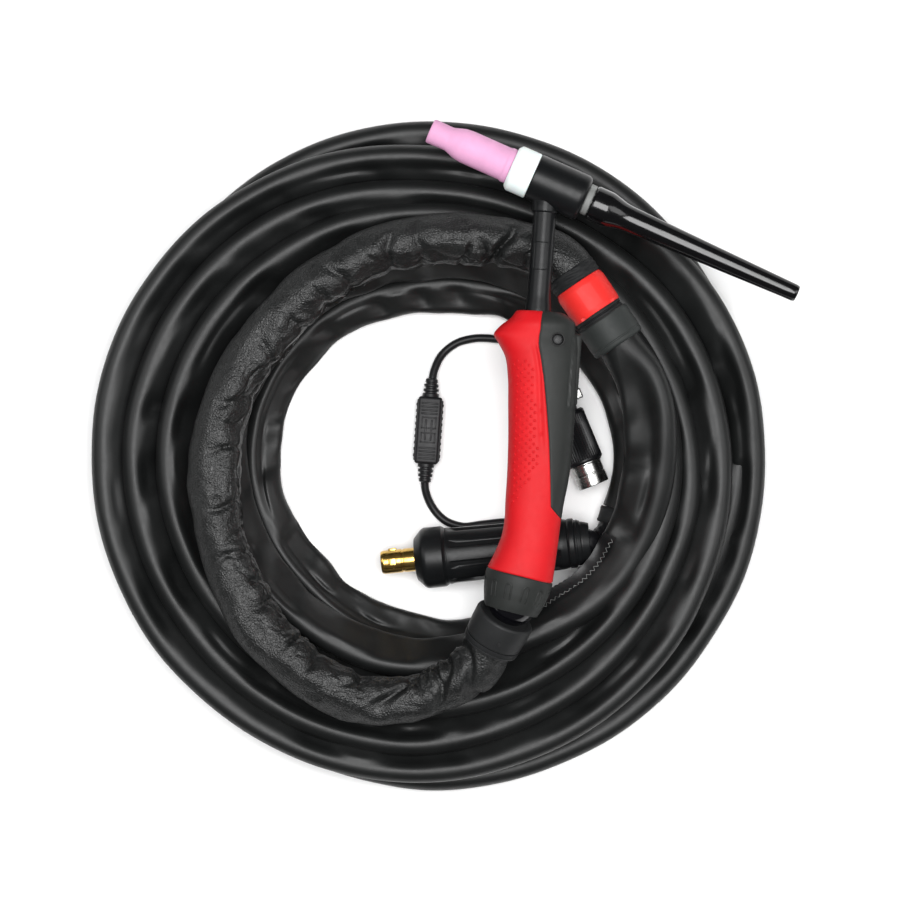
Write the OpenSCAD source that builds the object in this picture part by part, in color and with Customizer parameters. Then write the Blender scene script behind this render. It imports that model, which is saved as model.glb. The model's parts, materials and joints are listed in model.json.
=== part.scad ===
// TIG welding torch with a leather-covered hose, coiled sheath, power plug and control plug.
// Origin: where the electrode bore crosses the neck axis. +Y runs up the neck, +Z is up,
// and the electrode bore lies in the XY plane. Millimetres.

/* [Stance] */
// Height of the electrode bore above the floor
stand_h = 72; // [71:0.5:90]
// Direction of the nozzle, counted from +X
head_angle = 160; // [150:1:170]

/* [Head] */
// Diameter of the head and of the heat shield
head_d = 25; // [23:0.5:27]
// Head length in front of the neck axis
head_front = 8; // [7.5:0.5:10]
// Head length behind the neck axis
head_rear = 22; // [20:0.5:23]
// Diameter of the electrode
electrode_d = 2.4; // [1.6:0.2:3.2]
// Length of the collet
collet_len = 50; // [46:1:54]

/* [Nozzle] */
// Length of the gas nozzle
nozzle_len = 47; // [44:1:60]
// Outside diameter of the nozzle's tip
nozzle_tip_d = 13; // [12.5:0.5:16]
// Outside diameter of the nozzle's base
nozzle_base_d = 19; // [18:0.5:22]
// Diameter of the gas outlet
outlet_d = 9.8; // [8:0.2:10.4]

/* [Back cap] */
// Length of the back cap behind its seat
cap_len = 119; // [60:1:130]
// Diameter of the back cap's collar
cap_d = 19; // [18:0.5:21]

/* [Neck] */
// Diameter of the neck
neck_d = 12; // [11:0.5:12]
// Length of the neck from the electrode bore to the handle
neck_len = 69; // [66:0.5:69]

/* [Handle] */
// Wall of the hard shell
shell_wall = 2; // [1.6:0.1:2.4]
// Thickness of the soft grip
grip_wall = 1.6; // [1.2:0.1:2]
// Squareness of the handle's section
handle_power = 2.4; // [2:0.1:3]

/* [Swivel] */
// Radius of the swivel ball
ball_r = 13; // [12.5:0.1:13.2]
// Radius of the swivel socket where it meets the handle
socket_r = 18; // [17.5:0.1:18.5]

/* [Hose] */
// Diameter of the leather hose
leather_d = 28; // [26:0.5:28]
// Diameter of the main sheath
sheath_d = 22; // [18:0.5:22]
// Height of the coil
coil_h = 35; // [30:1:35]
// Outside radius of the coil
coil_r = 186; // [184:1:190]

/* [Plugs] */
// Diameter of the power plug's pin
pin_d = 13; // [12:0.5:14]
// Diameter of the power plug's housing
housing_d = 33.5; // [32:0.5:33.5]
// Diameter of the control plug's nut
nut_d = 21; // [20:0.5:21]
// Diameter of the control lead
control_d = 4.5; // [4:0.1:4.5]

/* [Hidden] */
$fn = 64;
fit = 0.05;
floor_z = -stand_h;
coil_centre = [-51.5, -149];
core_r = 9.5;
thread_r = 6.6;
seat_s = 20.6;
cap_s = -25.8;
stem_r = 4.6;
seal_r = 5.55;
cap_bore_r = 1.6;
socket_mouth = [0.1, -208.2];
socket_angle = 260;
socket_depth = 14.5;
spigot_r = 13;
spigot_lean = 1.44;
ball_at = [socket_mouth[0] + socket_depth * cos(socket_angle),
           socket_mouth[1] + socket_depth * sin(socket_angle), 0];
liner_r = ball_r + 1.2;
cavity_r = liner_r + fit;
cup_r = 15.5;
stem_angle = 247;
stem_dip = 20;
coupling_angle = -52;
coupling_at = [16, -44];
screw_at = [11, -83];
trigger_y = -98;
trigger_l = 38;
trigger_w = 8;
trigger_travel = 1.5;
boss_r = 4;
plug_at = [-55.8, -205.8, floor_z + housing_d / 2 + 0.1];
plug_turn = 10;
plug_rise = 4;
control_at = [15.5, -110.5, floor_z + nut_d / 2 + 0.7];
control_turn = -63.5;
module_at = [-54, -134.7, floor_z + 6.5];
turn_r = 9.8;
cable_r = 6.2;

// Handle stations: y, left edge, right edge, half thickness, edge of the grip, slope of the station
HANDLE = [
    [-68.5, -11.5, 14, 11, 2.5, 0],
    [-72, -13.5, 19, 13.5, 2, 0],
    [-78, -20, 20.5, 15, 2, 0],
    [-82, -22.5, 21, 15.5, 1.5, 0],
    [-86, -20, 21.5, 16, 1.5, 0],
    [-93, -15.8, 22.3, 16.3, 3, 0],
    [-102, -13.8, 22.8, 16.5, 5, 0],
    [-119, -12.3, 23.2, 16.5, 7.8, 0],
    [-137, -11, 23.3, 16, 10.5, 0],
    [-155, -10.3, 22.5, 15.5, 12.5, 0],
    [-171, -10.2, 20.5, 15.2, 14, 0],
    [-177, -10, 20, 15.3, 19.8, 0],
    [-188, -10.8, 19.3, 15.8, 19.2, -0.05],
    [-199, -14, 18.5, 16.8, 18.4, -0.11],
    [socket_mouth[1], -17.4, 17.6, 17.6, 17.5, tan(socket_angle - 270)]
];
// Angles along the bare shell and along the grip, as shares of each
SHELL_STEPS = [0, 0.2, 0.4, 0.6, 0.8, 1];
GRIP_STEPS = [0, 0.12, 0.25, 0.38, 0.5, 0.62, 0.75, 0.88, 1];

// Route of the leather hose, from the sleeve to the coupling
leather_z = floor_z + coil_h + leather_d / 2 + 0.2;
LEATHER = [
    along_stem(22),
    [-14.5, -250, -10.5],
    [-19.5, -259, -14],
    [-28, -267, -18],
    [-40, -274, -21.5],
    [-54, -279, leather_z],
    [-70, -281.5, leather_z],
    [-87, -280, leather_z],
    [-104, -273, leather_z],
    [-123, -260, leather_z],
    [-140, -242, leather_z],
    [-154, -218, leather_z],
    [-164, -188, leather_z],
    [-167, -157, leather_z],
    [-162.5, -127, leather_z],
    [-151, -101, leather_z],
    [-134, -77, leather_z],
    [-113, -56.5, leather_z],
    [-87, -40.5, leather_z],
    [-60, -32.5, leather_z],
    [-34, -30, leather_z],
    [-10, -32.5, leather_z],
    [6, -38, leather_z],
    [coupling_at[0], coupling_at[1], leather_z + 0.9]
];

// Route of the sheath from the collar down onto the coil
RUN = [
    [44, -79.5, -22],
    [49, -87, -22.5],
    [56, -98, -23.5],
    [61.5, -113, -25.5],
    [64.5, -130, -29],
    [65, -148, -33],
    [63, -166, -37],
    [58.5, -183, -40.5]
];

// Inner turn of the sheath, on the floor inside the coil: angle and radius about the coil's centre
INNER_TURN = [
    [335, 126], [318, 114], [300, 104], [275, 98], [250, 94], [225, 91], [200, 92], [175, 92],
    [150, 91], [125, 90], [100, 88], [80, 91], [62, 96], [45, 101], [30, 106], [15, 109],
    [0, 110], [348, 108]
];

// Bare power lead, from the end of the sheath into the boot
POWER = [
    [52.5, -171, floor_z + 10.5],
    [51, -179, floor_z + 12],
    [47.5, -186, floor_z + 15],
    [42, -190.3, floor_z + 18.5],
    along_plug(93),
    along_plug(70),
    along_plug(38.5)
];

// Control lead, from the end of the sheath under the plug, through the module to the control plug
CONTROL = [
    [48, -184, floor_z + 6],
    [44, -192, floor_z + 4],
    [36, -197.5, floor_z + 2.5],
    [26, -197, floor_z + 2.5],
    [16, -191, floor_z + 2.5],
    [6, -184.5, floor_z + 2.5],
    [-6, -182.5, floor_z + 2.5],
    [-20, -184.5, floor_z + 2.5],
    [-32, -186.5, floor_z + 2.5],
    [-42, -183.5, floor_z + 2.5],
    [-49.5, -176, floor_z + 3],
    [-53.5, -167, floor_z + 5],
    [-54, -158, floor_z + 6.5],
    [-54, -134, floor_z + 6.5],
    [-54, -110, floor_z + 6.5],
    [-53, -101, floor_z + 5],
    [-49.5, -92.5, floor_z + 3],
    [-42, -85.5, floor_z + 2.5],
    [-32, -82, floor_z + 2.5],
    [-20, -81.5, floor_z + 2.5],
    [-8, -83, floor_z + 3],
    [3, -88, floor_z + 5],
    [11.5, -98, floor_z + 9.5],
    [control_at[0] + 0.5, control_at[1] + 1, control_at[2]]
];

// ---- points and sweeps ----

function unit(v) = v / norm(v);

function stem_dir() = [cos(stem_dip) * cos(stem_angle), cos(stem_dip) * sin(stem_angle),
                       -sin(stem_dip)];

function along_stem(t) = ball_at + t * stem_dir();

function along_plug(t) = plug_at + t * [cos(plug_rise) * cos(plug_turn),
                                        cos(plug_rise) * sin(plug_turn), sin(plug_rise)];

function on_coil(angle, radius, z) = [coil_centre[0] + radius * cos(angle),
                                      coil_centre[1] + radius * sin(angle), z];

// One ring of a tube round path[i]
function tube_ring(path, i, r, sides) =
    let (t = unit(path[min(i + 1, len(path) - 1)] - path[max(i - 1, 0)]),
         s = unit(cross(t, [0, 0, 1])),
         u = cross(s, t))
    [for (k = [0:sides - 1]) path[i] + r * (cos(360 * k / sides) * s + sin(360 * k / sides) * u)];

// Side faces between rings of n points
function side_faces(count, n) =
    [for (i = [0:count - 2], k = [0:n - 1], half = [0, 1])
        let (a = i * n + k, b = i * n + (k + 1) % n)
        half == 0 ? [a, b, b + n] : [a, b + n, a + n]];

module tube(path, r, sides) {
    rings = [for (i = [0:len(path) - 1]) tube_ring(path, i, r, sides)];
    last = (len(path) - 1) * sides;
    polyhedron(
        points = [for (ring = rings) for (p = ring) p],
        faces = concat(
            side_faces(len(path), sides),
            [[for (k = [sides - 1:-1:0]) k]],
            [[for (k = [0:sides - 1]) last + k]]));
}

// ---- handle section ----

// Angle on the section at which x falls, for a station
function edge_angle(st) =
    let (c = (st[1] + st[2]) / 2, a = (st[2] - st[1]) / 2, q = (st[4] - c) / a,
         w = sign(q) * pow(min(abs(q), 1), handle_power / 2))
    max(acos(w), 6);

function handle_point(st, angle, inset) =
    let (c = (st[1] + st[2]) / 2, a = (st[2] - st[1]) / 2 - inset, h = st[3] - inset,
         x = c + a * sign(cos(angle)) * pow(abs(cos(angle)), 2 / handle_power),
         z = h * pow(abs(sin(angle)), 2 / handle_power))
    [x, st[0] + st[5] * (x - c), z];

// Round inner edge, where the shell closes on the neck or on the swivel's spigot
function round_point(st, angle, r, x0) =
    [x0 + r * cos(angle), st[0] + st[5] * (x0 + r * cos(angle) - (st[1] + st[2]) / 2), r * sin(angle)];

function shell_angles(st) = [for (k = SHELL_STEPS) k * edge_angle(st)];
function grip_angles(st) = let (e = edge_angle(st) + 1) [for (k = GRIP_STEPS) e + k * (180 - e)];

function shell_outer(st) = concat(
    [for (a = shell_angles(st)) handle_point(st, a, 0)],
    [for (a = grip_angles(st)) handle_point(st, a, grip_wall)]);

function shell_inner(st, i) =
    let (angles = concat(shell_angles(st), grip_angles(st)), last = len(HANDLE) - 1)
    i < 2 ? [for (a = angles) round_point(st, a, neck_d / 2 + 1.1, 0)]
    : i > last - 2 ? [for (a = angles)
        round_point(st, a, spigot_r + 0.5, socket_mouth[0] + spigot_lean * (last - i))]
    : [for (a = angles) handle_point(st, a, grip_wall + shell_wall)];

function grip_outer(st) = [for (a = grip_angles(st)) handle_point(st, a, 0)];
function grip_inner(st) = [for (a = grip_angles(st)) handle_point(st, a, grip_wall)];

// A shell between an outer and an inner line at each station
module skin(outer, inner) {
    n = len(outer[0]);
    count = len(outer);
    loops = [for (i = [0:count - 1]) concat(outer[i], [for (k = [n - 1:-1:0]) inner[i][k]])];
    last = (count - 1) * 2 * n;
    polyhedron(
        points = [for (ring = loops) for (p = ring) p],
        faces = concat(
            [for (f = side_faces(count, 2 * n)) [f[2], f[1], f[0]]],
            [for (k = [0:n - 2], half = [0, 1])
                half == 0 ? [k, k + 1, 2 * n - 2 - k] : [k, 2 * n - 2 - k, 2 * n - 1 - k]],
            [for (k = [0:n - 2], half = [0, 1])
                half == 0 ? [last + 2 * n - 2 - k, last + k + 1, last + k]
                          : [last + 2 * n - 1 - k, last + 2 * n - 2 - k, last + k]]));
}

module half_shell() {
    inner = [for (i = [0:len(HANDLE) - 1]) shell_inner(HANDLE[i], i)];
    outer = [for (st = HANDLE) shell_outer(st)];
    skin(outer, inner);
}

module half_grip() {
    skin([for (st = HANDLE) grip_outer(st)], [for (st = HANDLE) grip_inner(st)]);
}

module trigger_slot() {
    translate([14, trigger_y - trigger_l / 2 - 0.4, -trigger_w / 2 - 0.4])
        cube([14, trigger_l + 0.8, trigger_w + 0.8]);
}

module screw_boss(z0, z1) {
    translate([screw_at[0], screw_at[1], z0]) cylinder(r = boss_r, h = z1 - z0);
}

// ---- frames to draw in ----

// z runs from the electrode bore towards the nozzle
module head_axis() {
    rotate([0, 0, head_angle]) rotate([0, 90, 0]) children();
}

// z runs out of the handle through the swivel
module socket_axis() {
    translate([socket_mouth[0], socket_mouth[1], 0])
        rotate([0, 0, socket_angle]) rotate([0, 90, 0]) children();
}

// z runs from the ball's centre down the stem
module stem_axis() {
    translate(ball_at) rotate([0, stem_dip, stem_angle]) rotate([0, 90, 0]) children();
}

// z runs along the coupling, from the leather to the sheath
module coupling_axis() {
    translate([coupling_at[0], coupling_at[1], floor_z + coil_h + 15.1])
        rotate([0, 0, coupling_angle]) rotate([0, 90, 0]) children();
}

// z runs from the power plug's shoulder back along its housing
module plug_axis() {
    translate(plug_at) rotate([0, -plug_rise, plug_turn]) rotate([0, 90, 0]) children();
}

// z runs from the cable end of the control plug to its face
module control_axis() {
    translate(control_at) rotate([0, 0, control_turn]) rotate([0, 90, 0]) children();
}

// A ring of revolution from z0 to z1
module ring(r_in, r_out, z0, z1) {
    translate([0, 0, z0]) difference() {
        cylinder(r = r_out, h = z1 - z0);
        translate([0, 0, -1]) cylinder(r = r_in, h = z1 - z0 + 2);
    }
}

// ---- head ----

module head_core() {
    color("darkgoldenrod") head_axis() difference() {
        translate([0, 0, -head_rear + 2]) cylinder(r = core_r, h = head_rear - 2 + head_front - 1);
        translate([0, 0, -head_rear]) cylinder(r = stem_r + fit, h = head_rear - 10);
        translate([0, 0, -12]) cylinder(r = 2.4, h = 16);
        translate([0, 0, -6]) cylinder(r = 5, h = 20);
        rotate([0, -90, 0]) rotate([0, 0, -head_angle]) rotate([90, 0, 0])
            translate([0, 0, 6]) cylinder(r = 4, h = 10);
    }
}

module head_insulation() {
    edge = 3.5;
    color("#1d1e1f") difference() {
        union() {
            head_axis() rotate_extrude() union() {
                translate([0, -head_rear + edge]) square([head_d / 2, head_front + head_rear - edge]);
                translate([0, -head_rear]) square([head_d / 2 - edge, edge + 1]);
                intersection() {
                    translate([head_d / 2 - edge, -head_rear + edge]) circle(r = edge);
                    translate([0, -head_rear]) square([head_d / 2, edge + 1]);
                }
            }
            rotate([90, 0, 0]) cylinder(r1 = neck_d / 2 + 3, r2 = neck_d / 2 + 0.4, h = 19);
        }
        head_axis() translate([0, 0, -head_rear + 2]) cylinder(r = core_r, h = 60);
        head_axis() translate([0, 0, -head_rear - 1]) cylinder(r = seal_r + fit, h = 8);
        rotate([90, 0, 0]) translate([0, 0, 6]) cylinder(r = 4, h = 20);
        rotate([90, 0, 0]) translate([0, 0, 14]) cylinder(r = neck_d / 2, h = 10);
    }
}

module rear_insulator() {
    color("gainsboro") head_axis() ring(seal_r + fit, 8, -head_rear - 3.6, -head_rear);
}

module collet_body() {
    tip = 41;
    color("peru") head_axis() difference() {
        rotate_extrude() polygon([
            [2, -6], [5, -6], [5, head_front - 1], [thread_r, head_front - 1], [thread_r, 34],
            [5.6, 35], [5.2, tip - 3], [4, tip], [1.6, tip], [2, tip - 1.5]
        ]);
        for (a = [45:90:315]) rotate([0, 0, a]) translate([0, 0, 31]) rotate([0, 90, 0])
            cylinder(r = 0.8, h = 12);
    }
}

module collet() {
    rear = -11;
    slit = 0.4;
    color("chocolate") head_axis() difference() {
        rotate_extrude() polygon([
            [electrode_d / 2, rear], [1.95, rear], [1.95, rear + collet_len - 2],
            [1.5, rear + collet_len], [electrode_d / 2, rear + collet_len]
        ]);
        translate([-slit / 2, -3, rear + collet_len - 14]) cube([slit, 6, 15]);
    }
}

module heat_shield_ring() {
    chamfer = 2;
    color("white") head_axis() rotate_extrude() polygon([
        [thread_r + fit, head_front], [head_d / 2 - 0.5, head_front], [head_d / 2, head_front + 0.5],
        [head_d / 2, seat_s - chamfer], [head_d / 2 - chamfer, seat_s], [thread_r + fit, seat_s]
    ]);
}

module nozzle() {
    tip_s = seat_s + nozzle_len;
    base_r = nozzle_base_d / 2;
    tip_r = nozzle_tip_d / 2;
    color("#e2a3a0") head_axis() rotate_extrude() polygon([
        [thread_r + fit, seat_s], [base_r - 0.4, seat_s], [base_r, seat_s + 0.8],
        [base_r, seat_s + 2.4], [base_r - 0.5, seat_s + 3.4], [base_r - 0.7, tip_s - 20],
        [base_r - 1.4, tip_s - 17], [tip_r + 0.9, tip_s - 13.5], [tip_r + 0.1, tip_s - 11.5],
        [tip_r, tip_s - 0.6], [tip_r - 0.5, tip_s], [outlet_d / 2, tip_s],
        [outlet_d / 2, tip_s - 19], [thread_r + fit, tip_s - 23]
    ]);
}

module back_cap_o_ring() {
    color("#202020") head_axis() ring(stem_r + fit, seal_r, -head_rear - 3.5, -head_rear - 2);
}

module back_cap() {
    end_s = cap_s - cap_len;
    r = cap_d / 2;
    color("#101112") head_axis() rotate_extrude() polygon([
        [cap_bore_r, cap_s - 90], [cap_bore_r, -12], [stem_r, -12], [stem_r, cap_s],
        [r - 0.6, cap_s], [r, cap_s - 0.6], [r, cap_s - 9], [r - 0.3, cap_s - 11],
        [r - 1.1, cap_s - 14], [r - 2, cap_s - 17], [r - 2.5, cap_s - 20], [4.6, end_s + 4],
        [4.2, end_s + 2], [3.3, end_s + 0.7], [2, end_s], [0, end_s], [0, cap_s - 90]
    ]);
}

// ---- neck and handle ----

module neck_tube() {
    color("peru") rotate([90, 0, 0]) ring(3, 4, 9, 88);
}

module neck_sleeve() {
    color("#1f2022") rotate([90, 0, 0]) rotate_extrude() polygon([
        [4, 14], [neck_d / 2, 14], [neck_d / 2, neck_len - 8], [neck_d / 2 + 1, neck_len - 1],
        [neck_d / 2 + 1, neck_len + 6], [4, neck_len + 6]
    ]);
}

module cable_adapter() {
    color("darkgoldenrod") rotate([90, 0, 0]) difference() {
        union() {
            translate([0, 0, 80]) cylinder(r = 6, h = 12, $fn = 6);
            translate([0, 0, 92]) cylinder(r = 4.5, h = 16);
        }
        translate([0, 0, 79]) cylinder(r = 4, h = 9);
        translate([0, 0, 79]) cylinder(r = 2.5, h = 31);
    }
}

module handle_cable() {
    path = [
        [0, -94, 0], [0.3, -110, 0], [2.5, -130, 0], [4, -150, 0], [4, -170, 0], [2.5, -188, 0],
        [0.8, -203, 0]
    ];
    color("#26262a") difference() {
        tube(path, cable_r, 12);
        rotate([90, 0, 0]) translate([0, 0, 92]) cylinder(r = 4.5, h = 16);
    }
}

module handle_shell_top() {
    color("#3d3f40") difference() {
        union() {
            half_shell();
            screw_boss(0, 11);
        }
        trigger_slot();
        translate([screw_at[0], screw_at[1], -1]) cylinder(r = 1.6, h = 20);
        translate([screw_at[0], screw_at[1], 11.5]) cylinder(r = 3.1, h = 10);
    }
}

module handle_shell_bottom() {
    color("#3d3f40") difference() {
        union() {
            mirror([0, 0, 1]) half_shell();
            screw_boss(-11, 0);
        }
        trigger_slot();
        translate([screw_at[0], screw_at[1], -9]) cylinder(r = 1.5, h = 10);
    }
}

module grip_top() {
    color("#e8202a") half_grip();
}

module grip_bottom() {
    color("#e8202a") mirror([0, 0, 1]) half_grip();
}

module handle_screw() {
    color("#2a2b2c") translate([screw_at[0], screw_at[1], 0]) difference() {
        union() {
            translate([0, 0, 11.5]) cylinder(r = 2.9, h = 1.9);
            translate([0, 0, -8.5]) cylinder(r = 1.5, h = 20);
        }
        for (a = [0, 90]) rotate([0, 0, a]) translate([-1.7, -0.4, 12.3]) cube([3.4, 0.8, 2]);
    }
}

module trigger_button() {
    r = 3;
    x0 = 15.5;
    top_x = 24;
    edge = 0.8;
    half_l = trigger_l / 2;
    half_w = trigger_w / 2;
    side_h = top_x - x0 - edge;
    boss_gap = boss_r + trigger_travel + 0.3;
    color("#46494a") difference() {
        translate([0, trigger_y, 0]) union() {
            translate([x0, -half_l + r, -half_w]) cube([side_h, trigger_l - 2 * r, trigger_w]);
            translate([x0, -half_l, -half_w + 1]) cube([side_h, trigger_l, trigger_w - 2]);
            translate([x0, -half_l + r, -half_w + 1.2])
                cube([top_x - x0, trigger_l - 2 * r, trigger_w - 2.4]);
            translate([x0 - edge, -half_l - 1.6, -half_w - 1]) cube([1, trigger_l + 1.6, trigger_w + 2]);
        }
        translate([screw_at[0], screw_at[1], -trigger_w]) cylinder(r = boss_gap, h = 2 * trigger_w);
    }
}

module trigger_switch() {
    leg = 0.5;
    color("#15161a") translate([7.1, trigger_y - 10, -3]) {
        cube([5.4, 20, 6]);
        translate([5.4, 6, 1.8]) cube([0.6, 2.4, 2.4]);
        for (y = [2, 10, 18]) translate([-leg, y - 0.4, 2]) cube([leg + 0.1, 0.8, 2]);
    }
}

module switch_wires() {
    wire_r = 0.8;
    side_z = 3.85;
    color("#b02020") for (side = [-1, 1])
        tube([[9, trigger_y - 8, side * side_z], [9, trigger_y - 11, side * side_z],
              [10, -118, side * 3.6], [12, -135, side * 2.4], [12.5, -155, side * 2.4],
              [11.5, -175, side * 2.4], [10, -190, side * 2.4]], wire_r, 8);
}

// ---- swivel ----

module swivel_socket() {
    lip = 19.5;
    spigot = -8;
    color("#3b3d3f") socket_axis() difference() {
        rotate_extrude() difference() {
            polygon([
                [8, spigot], [spigot_r, spigot], [spigot_r, 0], [socket_r, 0], [socket_r, 4],
                [socket_r - 0.3, 7], [socket_r - 0.9, 10], [socket_r - 1.7, 13], [socket_r - 2.6, 16],
                [socket_r - 3.8, lip], [8, lip]
            ]);
            translate([0, socket_depth]) circle(r = cavity_r);
            translate([0, 3]) square([10, lip - 3 + 1]);
        }
        for (a = [15:30:345]) rotate([0, 0, a]) translate([14.6, -0.6, 5]) cube([6, 1.2, 7]);
    }
}

module ball_liner() {
    color("#c9c6bb") socket_axis() difference() {
        translate([0, 0, socket_depth]) sphere(r = liner_r);
        translate([0, 0, socket_depth]) sphere(r = ball_r + fit);
        translate([0, 0, socket_depth + 2]) cylinder(r = 30, h = 30);
        translate([0, 0, socket_depth - 4 - 30]) cylinder(r = 30, h = 30);
    }
}

module swivel_ball() {
    stem_hole = 5.6;
    color("#0c0d0e") stem_axis() difference() {
        union() {
            sphere(r = ball_r);
            translate([0, 0, 8]) cylinder(r = 7, h = cup_r + 4 - 8);
        }
        translate([0, 0, -20]) cylinder(r = stem_hole, h = 60);
        translate([0, 0, -ball_r - 1]) cylinder(r1 = 12, r2 = stem_hole, h = 8);
    }
}

module hose_sleeve() {
    rim = 9;
    end = 28;
    color("#4a4d50") stem_axis() rotate_extrude() difference() {
        polygon([
            [7, rim], [15.2, rim], [16, rim + 0.8], [16, rim + 9], [15.6, rim + 14], [15.4, 24],
            [14.7, 24], [14.7, 26.6], [15.4, 26.6], [15.2, end], [14.1, end], [14.1, 20.5], [7, 20.5]
        ]);
        circle(r = cup_r);
    }
}

module leather_clamp_ring() {
    color("#1a1b1c") stem_axis() ring(14.7, 15.5, 24.2, 26.4);
}

module swivel_cable() {
    color("#26262a") stem_axis() translate([0, 0, -6]) cylinder(r = 5.5, h = 26.4);
}

// ---- leather hose and coupling ----

module leather_hose() {
    color("#1c1a19") tube(LEATHER, leather_d / 2, 12);
}

module leather_cuff() {
    color("#202122") coupling_axis() ring(cable_r, 14.1, 0, 8);
}

module coupling_ring() {
    color("#e8202a") coupling_axis() rotate_extrude() polygon([
        [cable_r, 8], [13.6, 8], [14.25, 8.6], [14.25, 26.4], [13.6, 27], [cable_r, 27]
    ]);
}

module groove_ring() {
    color("#1a1b1c") coupling_axis() ring(cable_r, 13.5, 27, 31);
}

module coupling_cable() {
    color("#26262a") coupling_axis() translate([0, 0, 3]) cylinder(r = cable_r, h = 41.5);
}

module sheath_collar() {
    color("#54585a") coupling_axis() rotate_extrude() polygon([
        [cable_r, 31], [14.4, 31], [15, 31.6], [15, 47.2], [14.2, 48],
        [sheath_d / 2, 48], [sheath_d / 2, 44.6], [cable_r, 44.6]
    ]);
}

// ---- main sheath ----

module sheath_run() {
    color("#202224") tube(RUN, sheath_d / 2, 12);
}

module hose_coil() {
    inner_low = 120;
    inner_top = 106;
    color("#202224") translate([coil_centre[0], coil_centre[1], floor_z]) rotate_extrude($fn = 96)
        polygon([
            [inner_low, 0], [coil_r - 6, 0], [coil_r, 6], [coil_r, coil_h - 9], [coil_r - 8, coil_h],
            [inner_top + 8, coil_h], [inner_top, coil_h - 7], [inner_top, 23], [inner_low, 20.6]
        ]);
}

module sheath_inner_turn() {
    color("#202224")
        tube([for (p = INNER_TURN) on_coil(p[0], p[1], floor_z + turn_r + 0.2)], turn_r, 10);
}

module end_cuff() {
    color("#141516") translate(on_coil(348, 108, floor_z + turn_r + 0.2)) rotate([0, 0, -103])
        rotate([0, 90, 0]) ring(7.6, 10.1, 0, 9);
}

// ---- power plug ----

module power_lead() {
    color("#101112") tube(POWER, 7.3, 10);
}

module plug_boot() {
    color("#17181a") plug_axis() rotate_extrude() polygon([
        [7.4, 84], [13.2, 84], [13.6, 85], [13.6, 88], [12.5, 89], [11, 93], [10.4, 96], [7.4, 96]
    ]);
}

module plug_housing() {
    r = housing_d / 2;
    color("#131415") plug_axis() difference() {
        rotate_extrude() polygon([
            [8.2, 0], [r - 1.5, 0], [r, 1.5], [r, 15.5], [r - 1, 17], [r - 1.8, 18],
            [r - 2.2, 60], [r - 2.8, 82], [r - 3.4, 84], [8.2, 84]
        ]);
        for (a = [0:45:315]) rotate([0, 0, a]) translate([r - 2.6, -1.5, 22]) cube([4, 3, 56]);
    }
}

module plug_pin() {
    r = pin_d / 2;
    lug_s = -15;
    color("#c8a04a") plug_axis() difference() {
        union() {
            translate([0, 0, -19]) cylinder(r = r, h = 22);
            translate([0, 0, 3]) cylinder(r = 8.2, h = 34);
            translate([r - 1, -2, lug_s]) cube([2.6, 4, 5]);
        }
        translate([0, 0, 18]) cylinder(r = 5.6, h = 30);
        translate([0, 0, 30]) rotate([90, 0, 0]) cylinder(r = 3, h = 12);
    }
}

module plug_ferrule() {
    color("peru") plug_axis() translate([0, 0, 18.5]) cylinder(r = 5.5, h = 19.5);
}

module plug_grub_screw() {
    color("#6a6c70") plug_axis() translate([0, 0, 30]) rotate([90, 0, 0]) difference() {
        translate([0, 0, 5.6]) cylinder(r = 3, h = 1.9);
        translate([0, 0, 6.4]) cylinder(r = 1.4, h = 3, $fn = 6);
    }
}

// ---- control lead and plug ----

module control_lead() {
    color("#1a1b1d") tube(CONTROL, control_d / 2, 8);
}

module inline_module() {
    l = 38;
    w = 14.7;
    h = 12;
    color("#1c1d1f") translate(module_at) difference() {
        union() {
            translate([-w / 2, -l / 2, -h / 2 + 1]) cube([w, l, h - 2]);
            translate([-w / 2 + 1, -l / 2 + 1, -h / 2]) cube([w - 2, l - 2, h]);
            translate([-w / 2 + 2.5, -l / 2 + 4, h / 2]) cube([w - 5, 12, 0.8]);
            translate([-w / 2 + 2.5, l / 2 - 16, h / 2]) cube([w - 5, 12, 0.8]);
        }
        rotate([90, 0, 0]) cylinder(r = control_d / 2 + fit, h = l + 10, center = true);
    }
}

module module_reliefs() {
    color("#141516") translate(module_at) for (side = [0, 1]) mirror([0, side, 0])
        translate([0, 19, 0]) rotate([-90, 0, 0]) rotate_extrude() polygon([
            [control_d / 2 + fit, 0], [4.6, 0], [4.6, 1.6], [3.9, 1.6], [3.9, 2.4], [4.4, 2.4],
            [4.4, 4], [3.7, 4], [3.7, 4.8], [4.1, 4.8], [4.1, 6.4], [3.5, 6.4], [3.5, 7.2],
            [3.8, 7.2], [3.6, 10], [control_d / 2 + fit, 10]
        ]);
}

module control_plug_body() {
    color("#141517") control_axis() difference() {
        union() {
            translate([0, 0, 7]) cylinder(r = 7.6, h = 5);
            translate([0, 0, 12]) cylinder(r = 8.4, h = 27);
        }
        translate([0, 0, 6]) cylinder(r = 4, h = 22);
        translate([0, 0, 27]) cylinder(r = 7.4, h = 14);
    }
}

module coupling_nut() {
    r = nut_d / 2;
    color("#1b1c1e") control_axis() difference() {
        rotate_extrude() polygon([
            [8.4 + fit, 11], [r - 1, 11], [r, 12], [r, 39.5], [r - 1, 40.5], [9.6, 40.5],
            [9.6, 39.2], [8.4 + fit, 39.2]
        ]);
        for (a = [0:15:345]) rotate([0, 0, a]) translate([r - 0.6, -0.6, 14]) cube([2, 1.2, 23]);
    }
}

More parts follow.
